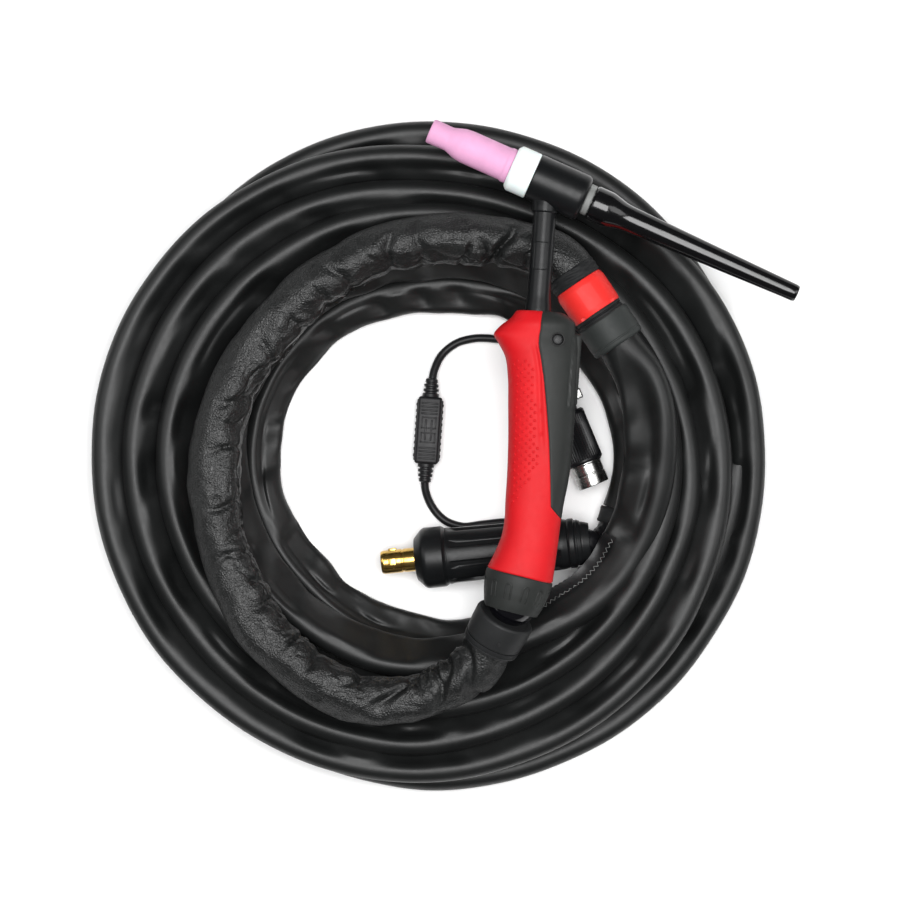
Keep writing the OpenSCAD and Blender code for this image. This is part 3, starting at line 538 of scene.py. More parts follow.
def leather_mesh():
    path, s = route(LEATHER, 1.1)
    sides = 120
    a = np.linspace(0, 2 * math.pi, sides, endpoint=False)[None, :] + 0 * s[:, None]
    sg = s[:, None] + 0 * a
    # across: +1 at the inside of the bend (the right of the path), -1 at the outside
    inside = np.cos(a)
    top = smooth01((np.sin(a) + 0.55) / 0.9)
    ends = smooth01(s / 10) * smooth01((s[-1] - s) / 16)
    ends = ends[:, None]
    top = np.maximum(top, 0.25)
    r = 13.5 + 0.9 * smooth01(inside) * noise2(sg / 17, 0 * a + 2, 21) + 0 * a
    # Creases pinched in from the inside of the bend, with soft puffs between them
    across = 0.5 - 0.5 * inside
    rng = np.random.default_rng(5)
    place, creases = 40.0, np.zeros_like(r)
    while place < s[-1] - 40:
        slope = rng.uniform(-14, 14)
        reach = rng.uniform(0.45, 0.95)
        depth = rng.uniform(1.8, 3.8)
        wide = rng.uniform(1.6, 3.4)
        centre = place + slope * across + 2.5 * np.sin(5 * across + place)
        notch = (np.exp(-np.abs((sg - centre) / wide) ** 1.5)
                 - 0.45 * np.exp(-(((sg - centre) / (3.4 * wide)) ** 2)))
        creases -= depth * notch * smooth01((reach - across) / 0.45)
        place += rng.uniform(15, 34)
    folds = np.zeros_like(r)
    for seed, length, reach, depth in ((12, 13, 1.2, 1.9), (13, 7, 2.4, 1.0)):
        f = noise2((sg + 9 * np.sin(a + seed)) / length, a * reach + 5 * np.sin(sg / 60), seed)
        folds -= depth * np.maximum(0, 1 - np.abs(f) * 4.5) ** 1.5 * (0.15 + 0.85 * smooth01(inside + 0.4))
    puff = 1.15 * noise2(sg / 20, a * 1.3, 14) + 0.5 * noise2(sg / 8, a * 2.4, 15)
    r = r + ((creases + 0.6 * folds) * top + puff) * ends
    # A seam along the inner side, standing a little proud
    r += 0.55 * np.exp(-(((a - 0.42 + 0.05 * np.sin(sg / 11)) / 0.035) ** 2)) * ends
    # deep crease before the coupling
    r -= 3.4 * np.exp(-(((sg - (s[-1] - 40) + 7 * np.cos(a)) / 3.2) ** 2)) * smooth01(inside + 0.9) * top
    r -= 2.2 * np.exp(-(((sg - (s[-1] - 56) - 8 * np.cos(a)) / 3.0) ** 2)) * smooth01(inside + 0.4) * top
    # bunched folds where it leaves the sleeve
    near = np.exp(-(((sg - 26) / 24) ** 2))
    r -= 2.6 * near * np.maximum(0, np.sin(sg / 2.9 + 2.2 * np.cos(a) + 1.3 * np.sin(2 * a))) * top * ends
    wide_near = np.exp(-(((sg - 78) / 26) ** 2))
    broad = np.maximum(0, np.sin(sg / 5.2 + 2.6 * np.cos(a) + 0.8 * np.sin(3 * a)))
    r -= 3.2 * wide_near * broad ** 2 * top * smooth01(inside + 0.75)
    section = np.stack([r * np.cos(a), r * np.sin(a) * 0.97], axis=2)
    verts, faces = sweep(path, section)
    obj = make("leather_hose_cover", verts, faces, "leather_black", "hose_package", ["leather_hose"], sharp=80)
    return obj, path, s


leather, leather_path, leather_s = leather_mesh()
print("leather length mm", leather_s[-1])


# ---- building blocks for turned, swept and boxed pieces ----

def raw(name, verts, faces):
    """A bare mesh object in mm, cleaned, before cuts and finish."""
    mesh = bpy.data.meshes.new(name)
    mesh.from_pydata([tuple(v) for v in np.asarray(verts, float) * MM], [], [tuple(f) for f in faces])
    obj = bpy.data.objects.new(name, mesh)
    bpy.context.scene.collection.objects.link(obj)
    bm = bmesh.new()
    bm.from_mesh(mesh)
    bmesh.ops.remove_doubles(bm, verts=bm.verts, dist=2e-6)
    bmesh.ops.recalc_face_normals(bm, faces=bm.faces)
    bm.to_mesh(mesh)
    bm.free()
    return obj


def fillet(profile):
    """Rounds the corners of a closed (r, z) outline; a corner is (r, z) or (r, z, fillet)."""
    out = []
    for i, p in enumerate(profile):
        corner = np.array(p[:2], float)
        if len(p) < 3:
            out.append(corner)
            continue
        a = np.array(profile[i - 1][:2], float) - corner
        b = np.array(profile[(i + 1) % len(profile)][:2], float) - corner
        la, lb = np.linalg.norm(a), np.linalg.norm(b)
        f = min(p[2], 0.48 * la, 0.48 * lb)
        start, end = corner + a / la * f, corner + b / lb * f
        for t in np.linspace(0, 1, 6):
            out.append((1 - t) ** 2 * start + 2 * t * (1 - t) * corner + t * t * end)
    return np.array(out)


def turned(profile, sides=80, shape=None):
    """Points and faces of a closed outline turned round z. shape(r, angle, z) may change r."""
    p = fillet(profile)
    a = np.linspace(0, 2 * math.pi, sides, endpoint=False)[None, :]
    r, z = p[:, 0:1] + 0 * a, p[:, 1:2] + 0 * a
    if shape is not None:
        r = shape(r, a + 0 * r, z)
    verts = np.stack([r * np.cos(a), r * np.sin(a), z], axis=2).reshape(-1, 3)
    return verts, grid_faces(len(p), sides) + closing_faces(len(p), sides)


def lathe(name, profile, m, sides=80, shape=None):
    verts, faces = turned(profile, sides, shape)
    return raw(name, placed(verts, m), faces)


def block(name, low, high, m=np.eye(4), bevel=0.5, steps=3):
    """A box with rounded edges."""
    x0, y0, z0 = low
    x1, y1, z1 = high
    verts = [(x, y, z) for x in (x0, x1) for y in (y0, y1) for z in (z0, z1)]
    faces = [(0, 1, 3, 2), (4, 6, 7, 5), (0, 4, 5, 1), (2, 3, 7, 6), (0, 2, 6, 4), (1, 5, 7, 3)]
    obj = raw(name, placed(verts, m), faces)
    if bevel:
        bm = bmesh.new()
        bm.from_mesh(obj.data)
        bmesh.ops.bevel(bm, geom=bm.edges[:], offset=bevel * MM, segments=steps, profile=0.5, affect="EDGES")
        bm.to_mesh(obj.data)
        bm.free()
    return obj


def tube_on(name, points, r, sides=10, closed=False):
    """A thin round tube along points in mm, on a steady frame."""
    p = np.asarray(points, float)
    n = len(p)
    t = (np.roll(p, -1, 0) - np.roll(p, 1, 0)) if closed else np.gradient(p, axis=0)
    t /= np.linalg.norm(t, axis=1)[:, None]
    ref = UP if abs(np.mean(np.abs(t @ UP))) < 0.8 else np.array([1.0, 0, 0])
    s = np.cross(t, ref)
    s /= np.linalg.norm(s, axis=1)[:, None]
    u = np.cross(s, t)
    a = np.linspace(0, 2 * math.pi, sides, endpoint=False)
    verts = p[:, None] + r * (np.cos(a)[None, :, None] * s[:, None] + np.sin(a)[None, :, None] * u[:, None])
    faces = grid_faces(n, sides)
    if closed:
        faces += closing_faces(n, sides)
    else:
        faces += [tuple(range(sides))[::-1], tuple((n - 1) * sides + k for k in range(sides))]
    return raw(name, verts.reshape(-1, 3), faces)


def join(base, others):
    """Adds other raw meshes to base, as separate closed shells of one object."""
    bm = bmesh.new()
    for o in [base, *others]:
        bm.from_mesh(o.data)
    bm.to_mesh(base.data)
    bm.free()
    for o in others:
        bpy.data.objects.remove(o)
    return base


def cut(base, tool, operation="DIFFERENCE"):
    """Base with tool taken away, or joined to it. The tool is used up."""
    mod = base.modifiers.new("cut", "BOOLEAN")
    mod.object = tool
    mod.operation = operation
    mod.solver = "EXACT"
    result = bpy.data.meshes.new_from_object(base.evaluated_get(bpy.context.evaluated_depsgraph_get()))
    base.modifiers.clear()
    base.data = result
    bpy.data.objects.remove(tool)
    return base


def polar(angle, r):
    return np.array([r * math.cos(math.radians(angle)), r * math.sin(math.radians(angle))])


def flat_dir(angle, dip=0):
    a, d = math.radians(angle), math.radians(dip)
    return np.array([math.cos(d) * math.cos(a), math.cos(d) * math.sin(a), -math.sin(d)])


HEAD = axis_frame((0, 0, 0), flat_dir(HEAD_ANGLE))
NECK = axis_frame((0, 0, 0), (0, -1, 0))
SOCKET_FRAME = axis_frame(SOCKET, flat_dir(SOCKET_ANGLE))
STEM_FRAME = axis_frame(BALL, STEM)
COUPLING = axis_frame((16, -44, FLOOR + 50.1), flat_dir(-52))
PLUG_AT = np.array([-55.8, -205.8, FLOOR + 16.85])
PLUG_DIR = flat_dir(10, -4)
PLUG = axis_frame(PLUG_AT, PLUG_DIR)
CONTROL = axis_frame((15.5, -110.5, FLOOR + 11.2), flat_dir(-63.5))
MODULE = np.array([-54, -134.7, FLOOR + 6.5])
END_FRAME = axis_frame((*(COIL + polar(348, 108)), FLOOR + 10), flat_dir(-103))


def done(obj, slot, body, *replaced, sharp=38):
    return finish_mesh(obj, slot, body, replaced, sharp)


# ---- head ----

head = lathe("head_body", [
    (5.6, -22), (12.5, -22, 3.4), (12.5, 8, 0.7), (9.5, 8, 0.3), (9.5, -18), (5.6, -18),
], HEAD, 96)
boss = lathe("boss", [
    (4.2, 10), (7.4, 10), (6.9, 12.6, 1), (6.75, 15.5, 0.5), (6.3, 16.2, 0.3), (4.2, 16.2),
], NECK, 72)
head = cut(head, boss, "UNION")
done(head, "overmould_black", "torch", "head_insulation", sharp=30)
done(lathe("rear_insulator_ring", [
    (5.6, -25.6), (7.4, -25.6, 0.3), (7.8, -25.0, 0.2), (7.8, -22.6, 0.2), (7.4, -22, 0.1), (5.6, -22),
], HEAD), "insulator_grey", "torch", "rear_insulator")
tab_frame = axis_frame((0, 0, 0), flat_dir(HEAD_ANGLE), (0.35, 0.94, 0.6))
tab = block("tab", (7.2, -1.4, -25.5), (9.4, 1.4, -22.2), tab_frame, 0.3)
done(tab, "insulator_grey", "torch")
done(lathe("heat_shield", [
    (6.65, 8), (12.1, 8, 0.3), (12.5, 8.6, 0.2), (12.5, 18.8, 0.9), (10.6, 20.6, 0.5), (6.65, 20.6),
], HEAD, 96), "ptfe_white", "front_shield", "heat_shield_ring")
done(lathe("gas_nozzle", [
    (6.65, 20.65), (9.2, 20.65, 0.3), (9.5, 21.4, 0.3), (9.5, 23.2, 0.4), (9.05, 24.2, 0.4),
    (9.0, 46.2, 1.2), (8.6, 50.2, 1.2), (7.1, 54.6, 1.2), (6.45, 56.6, 0.8), (6.55, 62, 2),
    (6.65, 66.6, 0.5), (6.2, 67.6, 0.4), (4.9, 67.6, 0.35), (4.9, 48.6, 1.5), (6.65, 44.6, 1.0),
], HEAD, 96), "alumina_pink", "nozzle", "nozzle")


def cap_shape(r, a, z):
    """Four soft flats on the long taper."""
    taper = smooth01((-45 - z) / 12) * smooth01((z + 142) / 4)
    return r * (1 - 0.018 * taper * np.cos(4 * a) ** 2)


done(lathe("long_back_cap", [
    (1.6, -115), (1.6, -12), (4.6, -12), (4.6, -25.85), (8.7, -25.85, 0.3), (9.5, -26.8, 0.7),
    (9.5, -34.8, 0.4), (9.15, -36.8, 1.0), (8.3, -39.8, 1.5), (7.45, -42.8, 1.5), (7.0, -46, 2.5),
    (6.4, -70, 5), (5.4, -110, 5), (4.75, -138, 3), (4.6, -143.4, 0.5), (4.1, -144.8, 0.5),
    (2.6, -144.8, 0.2), (2.4, -144.4, 0.1), (0, -144.4), (0, -115),
], HEAD, 96, cap_shape), "cap_black", "back_cap", "back_cap", sharp=30)

# ---- neck ----

done(lathe("neck_cover", [
    (4.0, 14), (5.2, 14, 0.3), (6.0, 14.6, 0.6), (6.0, 60, 2), (6.55, 64.5, 2), (7.0, 68.2, 0.8), (7.0, 75),
    (4.0, 75),
], NECK, 80), "overmould_black", "torch", "neck_sleeve")
corners = []
for cx, cy, start in ((2.0, -45.6, -90), (2.0, -32.8, 0), (-3.4, -32.8, 90), (-3.4, -45.6, 180)):
    for a in np.linspace(start, start + 90, 5):
        corners.append((cx + polar(a, 0.8)[0], cy + polar(a, 0.8)[1]))
line = []
for (xa, ya), (xb, yb) in zip(corners, corners[1:] + corners[:1]):
    for t in np.linspace(0, 1, 8, endpoint=False):
        x, y = xa + (xb - xa) * t, ya + (yb - ya) * t
        line.append((x, y, math.sqrt(max(6.02**2 - x * x, 0))))
done(tube_on("neck_frame", np.array(line), 0.24, 8, closed=True), "overmould_black", "torch")

# ---- handle ----

HANDLE = np.array([
    (68.5, -11.5, 14, 11, 2.5, 0), (72, -13.5, 19, 13.5, 2, 0), (78, -20, 20.5, 15, 2, 0),
    (82, -22.5, 21, 15.5, 1.5, 0), (86, -20, 21.5, 16, 1.5, 0), (93, -15.8, 22.3, 16.3, 3, 0),
    (102, -13.8, 22.8, 16.5, 5, 0), (119, -12.3, 23.2, 16.5, 7.8, 0), (137, -11, 23.3, 16, 10.5, 0),
    (155, -10.3, 22.5, 15.5, 12.5, 0), (171, -10.2, 20.5, 15.2, 14, 0), (177, -10, 20, 15.3, 19.8, 0),
    (188, -10.8, 19.3, 15.8, 19.2, -0.05), (199, -14, 18.5, 16.8, 18.4, -0.11),
    (208.2, -17.4, 17.6, 17.6, 17.5, math.tan(math.radians(-10))),
])
HANDLE_POWER = 2.4
ROWS = np.concatenate([[68.5, 68.62, 68.9, 69.4, 70.2], np.arange(71.2, 206.4, 1.2),
                       [206.9, 207.4, 207.8, 208.08, 208.2]])
STATION = np.column_stack([hermite(HANDLE[:, 0], HANDLE[:, k], ROWS) for k in (1, 2, 3)]
                          + [np.interp(ROWS, HANDLE[:, 0], HANDLE[:, 4]),
                             hermite(HANDLE[:, 0], HANDLE[:, 5], ROWS)])
LEFT, RIGHT, HALF, EDGE, SLOPE = STATION.T
MID, WIDE = (LEFT + RIGHT) / 2, (RIGHT - LEFT) / 2
EDGE_SHARE = (EDGE - MID) / WIDE
EDGE_COS = np.sign(EDGE_SHARE) * np.abs(np.clip(EDGE_SHARE, -1, 1)) ** (HANDLE_POWER / 2)
EDGE_ANGLE = np.maximum(np.degrees(np.arccos(EDGE_COS)), 6)
VALLEY = np.interp(ROWS, [85, 93, 101.5, 121, 137, 150], [-1.6, 0.6, 2.4, 4.4, 6.2, 8])


def handle_points(angles, inset, relief=None):
    """Points of the handle's section at angles (rows by columns, degrees), inset in mm."""
    a = np.radians(angles)
    ca, sa = np.cos(a), np.sin(a)
    w, h = WIDE[:, None] - inset, HALF[:, None] - inset
    px = MID[:, None] + w * np.sign(ca) * np.abs(ca) ** (2 / HANDLE_POWER)
    pz = h * np.abs(sa) ** (2 / HANDLE_POWER)
    if relief is not None:
        nx, nz = (px - MID[:, None]) / w**2, pz / h**2
        n = np.sqrt(nx**2 + nz**2) + 1e-9
        lift = relief(px, pz)
        px, pz = px + lift * nx / n, pz + lift * nz / n
    py = -ROWS[:, None] + SLOPE[:, None] * (px - MID[:, None])
    return np.stack([px, py, pz], axis=2)


def arc_from(points, column):
    """Distance along each row from a column, in mm."""
    d = np.linalg.norm(np.diff(points, axis=1), axis=2)
    s = np.concatenate([np.zeros((len(points), 1)), np.cumsum(d, axis=1)], axis=1)
    return np.abs(s - s[:, column:column + 1])


END = np.minimum(ROWS - 68.5, 208.2 - ROWS)[:, None]
END_ROUND = 0.8 * np.clip(1 - END / 0.9, 0, 1) ** 2


def grip_relief(x, z):
    y = ROWS[:, None] + 0 * x
    valley = (np.exp(-(((x - VALLEY[:, None]) / 1.25) ** 2))
              * smooth01((y - 83) / 7) * smooth01((150 - y) / 18))
    ridge = (np.exp(-(((x - VALLEY[:, None] - 2.3) / 1.5) ** 2))
             * smooth01((y - 84) / 8) * smooth01((145 - y) / 20))
    shoulder = np.exp(-(((y - 75.2) / 1.1) ** 2)) * smooth01((z - 6) / 5)
    return -0.9 * valley + 0.45 * ridge + 0.25 * shoulder


def shell_relief(x, z):
    y = ROWS[:, None] + 0 * x
    rim = (smooth01((x - 18.6) / 0.5) * smooth01((21.9 - x) / 0.5)
           * smooth01((y - 79.2) / 0.9) * smooth01((118.6 - y) / 0.9))
    shoulder = np.exp(-(((y - 75.2) / 1.1) ** 2)) * smooth01((z - 6) / 5)
    return 0.9 * rim + 0.2 * shoulder


GRIP_STEPS = np.concatenate([[0, 0.004, 0.010, 0.018], np.linspace(0.03, 0.99, 44), [0.995, 1]])
SHELL_STEPS_OUT = np.concatenate([[0, 0.008], np.linspace(0.02, 0.96, 30), [0.975, 0.988, 1]])
grip_angles = EDGE_ANGLE[:, None] + 0.6 + GRIP_STEPS[None, :] * (180 - EDGE_ANGLE[:, None] - 0.6)
grip_out = handle_points(grip_angles, 0.0, grip_relief)
edge_gap = arc_from(grip_out, 0)
seam_and_edge_highlight = 0.22 * np.exp(-((grip_out[:, :, 2] / 0.3) ** 2))
grip_out = handle_points(grip_angles, 0.55 * np.clip(1 - edge_gap / 0.9, 0, 1) ** 2 + END_ROUND + seam_and_edge_highlight,
                         grip_relief)
grip_in = handle_points(grip_angles, 1.5)
bare_angles = EDGE_ANGLE[:, None] * SHELL_STEPS_OUT[None, :]
bare = handle_points(bare_angles, 0.0)
edge_gap = arc_from(bare, bare.shape[1] - 1)
seam_and_edge_highlight = 0.22 * np.exp(-((bare[:, :, 2] / 0.3) ** 2))
bare = handle_points(bare_angles, 0.3 * np.clip(1 - edge_gap / 0.7, 0, 1) ** 2 + END_ROUND + seam_and_edge_highlight, shell_relief)
under_angles = EDGE_ANGLE[:, None] + np.linspace(0, 1, 14)[None, 1:] * (180 - EDGE_ANGLE[:, None])
shell_out = np.concatenate([bare, handle_points(under_angles, 1.6)], axis=1)
in_angles = np.concatenate([bare_angles, under_angles], axis=1)
shell_in = handle_points(in_angles, 3.6)


def round_inner(points, rows, r, x0):
    for i in rows:
        a = np.radians(in_angles[i])
        x = x0 + r * np.cos(a)
        points[i] = np.stack([x, -ROWS[i] + SLOPE[i] * (x - MID[i]), r * np.sin(a)], axis=1)


round_inner(shell_in, range(0, 7), 7.3, 0)
round_inner(shell_in, range(len(ROWS) - 12, len(ROWS)), 13.5, 0.9)


def skin(name, outer, inner, flip):
    """A closed wall between two open sheets of points."""
    loops = np.concatenate([outer, inner[:, ::-1]], axis=1)
    if flip:
        loops = loops * np.array([1, 1, -1])
    rows, cols = loops.shape[:2]
    n = outer.shape[1]
    faces = grid_faces(rows, cols)
    for k in range(n - 1):
        faces.append((k, k + 1, cols - 2 - k, cols - 1 - k))
        base = (rows - 1) * cols
        faces.append((base + k, base + k + 1, base + cols - 2 - k, base + cols - 1 - k))
    return raw(name, loops.reshape(-1, 3), faces)


def dome_dots(flip):
    """Raised dots on the grip, on a staggered grid, as small domes set into it."""
    dots = []
    side = -1 if flip else 1
    flat_out = grip_out.reshape(-1, 3)
    for row in range(0, 38):
        y = -95.5 - 2.05 * row
        for col in range(-4, 5):
            x = -1.2 + 3.9 * col + (1.95 if row % 2 else 0) + 0.035 * (-y - 95)
            valley = float(np.interp(-y, ROWS, VALLEY))
            if x > valley - 2.4 or x < float(np.interp(-y, ROWS, LEFT)) + 3.2 or y < -150 - 1.9 * (8 - x) + 6:
                continue
            if y < -172:
                continue
            i = int(np.argmin(np.abs(ROWS + y)))
            row_points = grip_out[i]
            order = np.argsort(row_points[:, 0])
            z = float(np.interp(x, row_points[order, 0], row_points[order, 2]))
            j = int(np.argmin((flat_out[:, 0] - x) ** 2 + (flat_out[:, 1] - y) ** 2))
            a = np.radians(grip_angles.reshape(-1)[j])
            normal = unit([math.cos(a) * 0.8, 0, math.sin(a)])
            m = axis_frame((x, y, z), normal, (0, 1, 0))
            verts, faces = turned([
                (0, -0.3), (0.80, -0.3), (0.78, 0.05), (0.64, 0.30), (0.36, 0.46), (0, 0.5),
            ], 10)
            v = placed(verts, m) * np.array([1, 1, side])
            dots.append((v, faces))
    verts, faces, base = [], [], 0
    for v, f in dots:
        verts.append(v)
        faces += [tuple(i + base for i in face) for face in f]
        base += len(v)
    return raw("dots", np.vstack(verts), faces)


at = axis_frame((11, -83, 0), (0, 0, 1), (1, 0, 0))
for flip, label in ((False, "top"), (True, "bottom")):
    shell = skin(f"shell_skin_{label}", shell_out, shell_in, flip)
    shell = cut(shell, block("slot", (13.5, -117.5, -4.5), (30, -78.5, 4.5), bevel=0))
    if not flip:
        shell = cut(shell, lathe("recess", [(0, 11.4), (3.7, 11.4), (3.7, 30), (0, 30)], at, 40))
    done(shell, "shell_grey", "torch", f"handle_shell_{label}", sharp=32)
    grip = skin(f"grip_skin_{label}", grip_out, grip_in, flip)
    grip = join(grip, [dome_dots(flip)])
    done(grip, "grip_red", "torch", f"grip_{label}", sharp=50)
screw = lathe("screw", [
    (0, -8.4), (1.5, -8.4), (1.5, 11.5), (2.75, 11.5), (2.75, 13.1, 0.5), (1.4, 13.5, 1.0), (0, 13.6),
], at, 40)
for turn in (0, 90):
    c, s = math.cos(math.radians(turn)), math.sin(math.radians(turn))
    m = np.array([[c, -s, 0, 11], [s, c, 0, -83], [0, 0, 1, 0], [0, 0, 0, 1]])
    screw = cut(screw, block("slot", (-1.8, -0.38, 12.2), (1.8, 0.38, 15), m, bevel=0))
done(screw, "screw_black", "torch", "handle_screw", sharp=30)
screw_ring = lathe("screw_ring", [
    (2.85, 11.5), (3.65, 11.5), (3.65, 15.2, 0.2), (3.2, 15.4, 0.2), (2.85, 14.6, 0.2),
], at, 48)
done(screw_ring, "seal_black", "torch")

trigger = block("trigger", (15.5, -117, -4), (24, -79, 4), bevel=1.6, steps=4)
trigger = cut(trigger, block("flange", (14.7, -118.6, -5), (15.7, -79, 5), bevel=0.2, steps=1), "UNION")
for y in np.arange(-112, -84, 3.0):
    trigger = cut(trigger, block("groove", (23.6, y - 0.35, -3), (26, y + 0.35, 3), bevel=0))
done(trigger, "shell_grey", "trigger", "trigger_button", sharp=30)

# ---- swivel ----

socket = lathe("socket", [
    (8, -8), (13, -8, 0.4), (13, -0.2), (17.6, -0.2, 0.5), (18, 0.6, 0.4), (18, 4, 1.5), (17.1, 10, 3),
    (16.3, 13, 2), (15.4, 16.4, 1.0), (14.2, 19.5, 0.5), (13.6, 19.5, 0.2), (14.3, 14.5, 2), (13.4, 10, 1),
    (12.2, 7.2, 1), (8, 5),
], SOCKET_FRAME, 120)
grooves = []
for k in range(12):
    a0 = math.radians(15 + 30 * k)
    u = [(-1.5, 13.2)] + [(-1.5, v) for v in np.linspace(12, 6.4, 6)]
    u += [(1.5 * math.sin(w), 6.4 - 1.5 * math.cos(w)) for w in np.linspace(-math.pi / 2, math.pi / 2, 7)[1:-1]]
    u += [(1.5, v) for v in np.linspace(6.4, 12, 6)] + [(1.5, 13.2)]
    points = []
    for side_mm, t in u:
        r = float(np.interp(t, [0, 4, 10, 13, 16.4], [18, 18, 17.1, 16.3, 15.4])) - 0.1
        a = a0 + side_mm / r
        points.append((r * math.cos(a), r * math.sin(a), t))
    grooves.append(tube_on("g", placed(points, SOCKET_FRAME), 0.5, 6))
socket = cut(socket, join(grooves[0], grooves[1:]))
done(socket, "shell_grey", "torch", "swivel_socket", sharp=34)

arc = [(13 * math.sin(w), 13 * math.cos(w)) for w in np.linspace(math.radians(150), math.radians(36), 40)]
ball_profile = [(5.6, -11.7)] + arc + [(7.0, 10.9), (7.0, 19.5), (5.6, 19.5)]


def ball_grooves(r, a, z):
    """Two fine grooves round the ball."""
    return r - 0.25 * np.exp(-(((z - 5.6) / 0.35) ** 2)) - 0.25 * np.exp(-(((z - 7.2) / 0.35) ** 2))


done(lathe("ball", ball_profile, STEM_FRAME, 96, ball_grooves),
     "ball_black", "hose_package", "swivel_ball", sharp=50)
sleeve = lathe("sleeve", [
    (7.2, 20.5), (7.2, 9.4), (12.4, 9.4), (12.9, 9.0, 0.3), (15.1, 9.0, 0.5), (16.0, 10, 0.7),
    (16.0, 17.6, 3), (15.6, 22, 2), (15.4, 23.8, 0.3), (14.7, 24.1, 0.1), (14.7, 26.5, 0.1),
    (15.4, 26.8, 0.2), (15.2, 28, 0.4), (14.1, 28, 0.2), (14.1, 20.5),
], STEM_FRAME, 96)
knob_at = placed([(15.75, -3.5, 19)], STEM_FRAME)[0]
knob_out = placed([(1, -0.22, 0)], STEM_FRAME)[0] - placed([(0, 0, 0)], STEM_FRAME)[0]
knob = lathe("knob", [
    (0, -0.8), (0.95, -0.8), (0.95, 0.12, 0.2), (0.6, 0.3, 0.15), (0.5, 0.0, 0.1), (0, 0.0),
], axis_frame(knob_at, knob_out), 20)
sleeve = join(sleeve, [knob])
done(sleeve, "sleeve_grey", "hose_package", "hose_sleeve", sharp=30)
done(lathe("clamp_ring", [(14.7, 24.2), (15.5, 24.2, 0.25), (15.5, 26.4, 0.25), (14.7, 26.4)], STEM_FRAME, 96),
     "cuff_black", "hose_package", "leather_clamp_ring")

# ---- coupling ----

def cuff_folds(r, a, z):
    out = smooth01((r - 10) / 3)
    return r + out * (0.35 * np.sin(z * 2.2 + 2 * np.sin(a * 2)) * np.sin(3 * a + 1)
                      + 0.2 * noise2(a * 4, z / 1.5, 31))


cuff_rows = [(13.9, z) for z in np.arange(1, 7.8, 0.5)]
done(lathe("cuff", [(6.2, 0), (13.2, 0, 0.8), *cuff_rows, (13.6, 8), (6.2, 8)], COUPLING, 96, cuff_folds),
     "cuff_black", "hose_package", "leather_cuff", sharp=60)
ring = lathe("ring", [
    (6.2, 8), (12.9, 8, 0.3), (13.3, 8.3, 0.2), (14.25, 11.0, 0.5), (14.25, 24.6, 0.4), (13.9, 26.9, 0.3),
    (6.2, 27),
], COUPLING, 110)
ring = cut(ring, block("panel", (13.62, -7, 11.6), (20, 7, 24.2), COUPLING, bevel=0))
for y in (-9.3, 9.3):
    ring = cut(ring, block("notch", (9.2, y - 1.1, 25.4), (16, y + 1.1, 30), COUPLING, bevel=0))
done(ring, "coupling_red", "hose_package", "coupling_ring", sharp=28)
done(lathe("groove", [
    (6.2, 27), (13.4, 27), (13.5, 27.5, 0.2), (13.5, 28.6, 0.2), (12.8, 28.9, 0.2), (12.8, 29.3, 0.2),
    (13.5, 29.6, 0.2), (13.4, 31), (6.2, 31),
], COUPLING, 96), "cuff_black", "hose_package", "groove_ring")
done(lathe("collar", [
    (6.2, 31), (14.2, 31, 0.2), (15.0, 31.7, 0.5), (15.0, 44.2, 0.5), (14.7, 44.5, 0.2), (14.7, 45.0, 0.2),
    (15.0, 45.4, 0.2), (14.7, 47.2, 0.6), (13.4, 48, 0.4), (11.0, 48, 0.2), (11.0, 44.6), (6.2, 44.6),
], COUPLING, 96), "collar_grey", "hose_package", "sheath_collar")

# ---- power plug ----

def housing_shape(r, a, z):
    """Eight wide ribs with grooves between them, on the long part of the housing."""
    along = smooth01((z - 20.5) / 1.5) * smooth01((79.5 - z) / 1.5)
    groove = smooth01((np.abs(np.sin(4 * a + 0.3)) * 1.0 - 0.80) / 0.12)
    return r - 1.5 * along * groove * (r > 12)


done(lathe("plug_body", [
    (8.3, 0), (11.4, 0, 0.4), (16.0, 4.2, 1.2), (16.75, 6.0, 1.0), (16.6, 15.6, 0.4), (15.9, 16.4, 0.2),
    (15.4, 17.4, 0.2), (15.6, 18.2, 0.3), (15.2, 20), (15.1, 24), (15.0, 32), (14.8, 45), (14.5, 60),
    (14.2, 72), (14.0, 78), (13.9, 81, 1.0), (13.2, 84, 0.5), (8.3, 84),
], PLUG, 160, housing_shape), "housing_black", "hose_package", "plug_housing", sharp=40)
pin = lathe("pin", [
    (5.6, 18), (5.6, 38), (8.15, 38), (8.15, 3), (6.5, 3), (6.5, -6.3, 0.2), (6.15, -6.6), (6.15, -7.4),
    (6.5, -7.7, 0.2), (6.5, -17.6, 0.5), (5.9, -19, 0.3), (2.2, -19, 0.3), (2.2, -16), (0, -16), (0, 18),
], PLUG, 72)
lug = block("lug", (5.4, -2, -14.6), (8.0, 2, -10.2), PLUG, 0.4)
turn = axis_frame(PLUG_AT, PLUG_DIR, flat_dir(100))
lug_side = block("lug_side", (5.4, -2, -14.6), (7.3, 2, -10.2), turn, 0.4)
pin = join(pin, [lug, lug_side])
done(pin, "plug_brass", "hose_package", "plug_pin", sharp=30)
done(lathe("boot", [
    (7.4, 84), (13.1, 84, 0.3), (13.6, 85, 0.4), (13.6, 87.6, 0.4), (12.6, 88.2, 0.2), (12.4, 88.9, 0.2),
    (12.7, 89.4, 0.2), (11.9, 91.2, 0.2), (11.2, 91.6, 0.2), (11.3, 92.2, 0.2), (10.7, 94.4, 0.3),
    (10.2, 96, 0.4), (7.4, 96),
], PLUG, 96), "housing_black", "hose_package", "plug_boot")
POWER = [
    (52.5, -171, FLOOR + 10.5), (51, -179, FLOOR + 12), (47.5, -186, FLOOR + 15), (42, -190.3, FLOOR + 18.5),
    PLUG_AT + 93 * PLUG_DIR, PLUG_AT + 70 * PLUG_DIR, PLUG_AT + 38.5 * PLUG_DIR,
]
path, s = route(POWER, 0.9)
a = np.linspace(0, 2 * math.pi, 40, endpoint=False)[None, :]
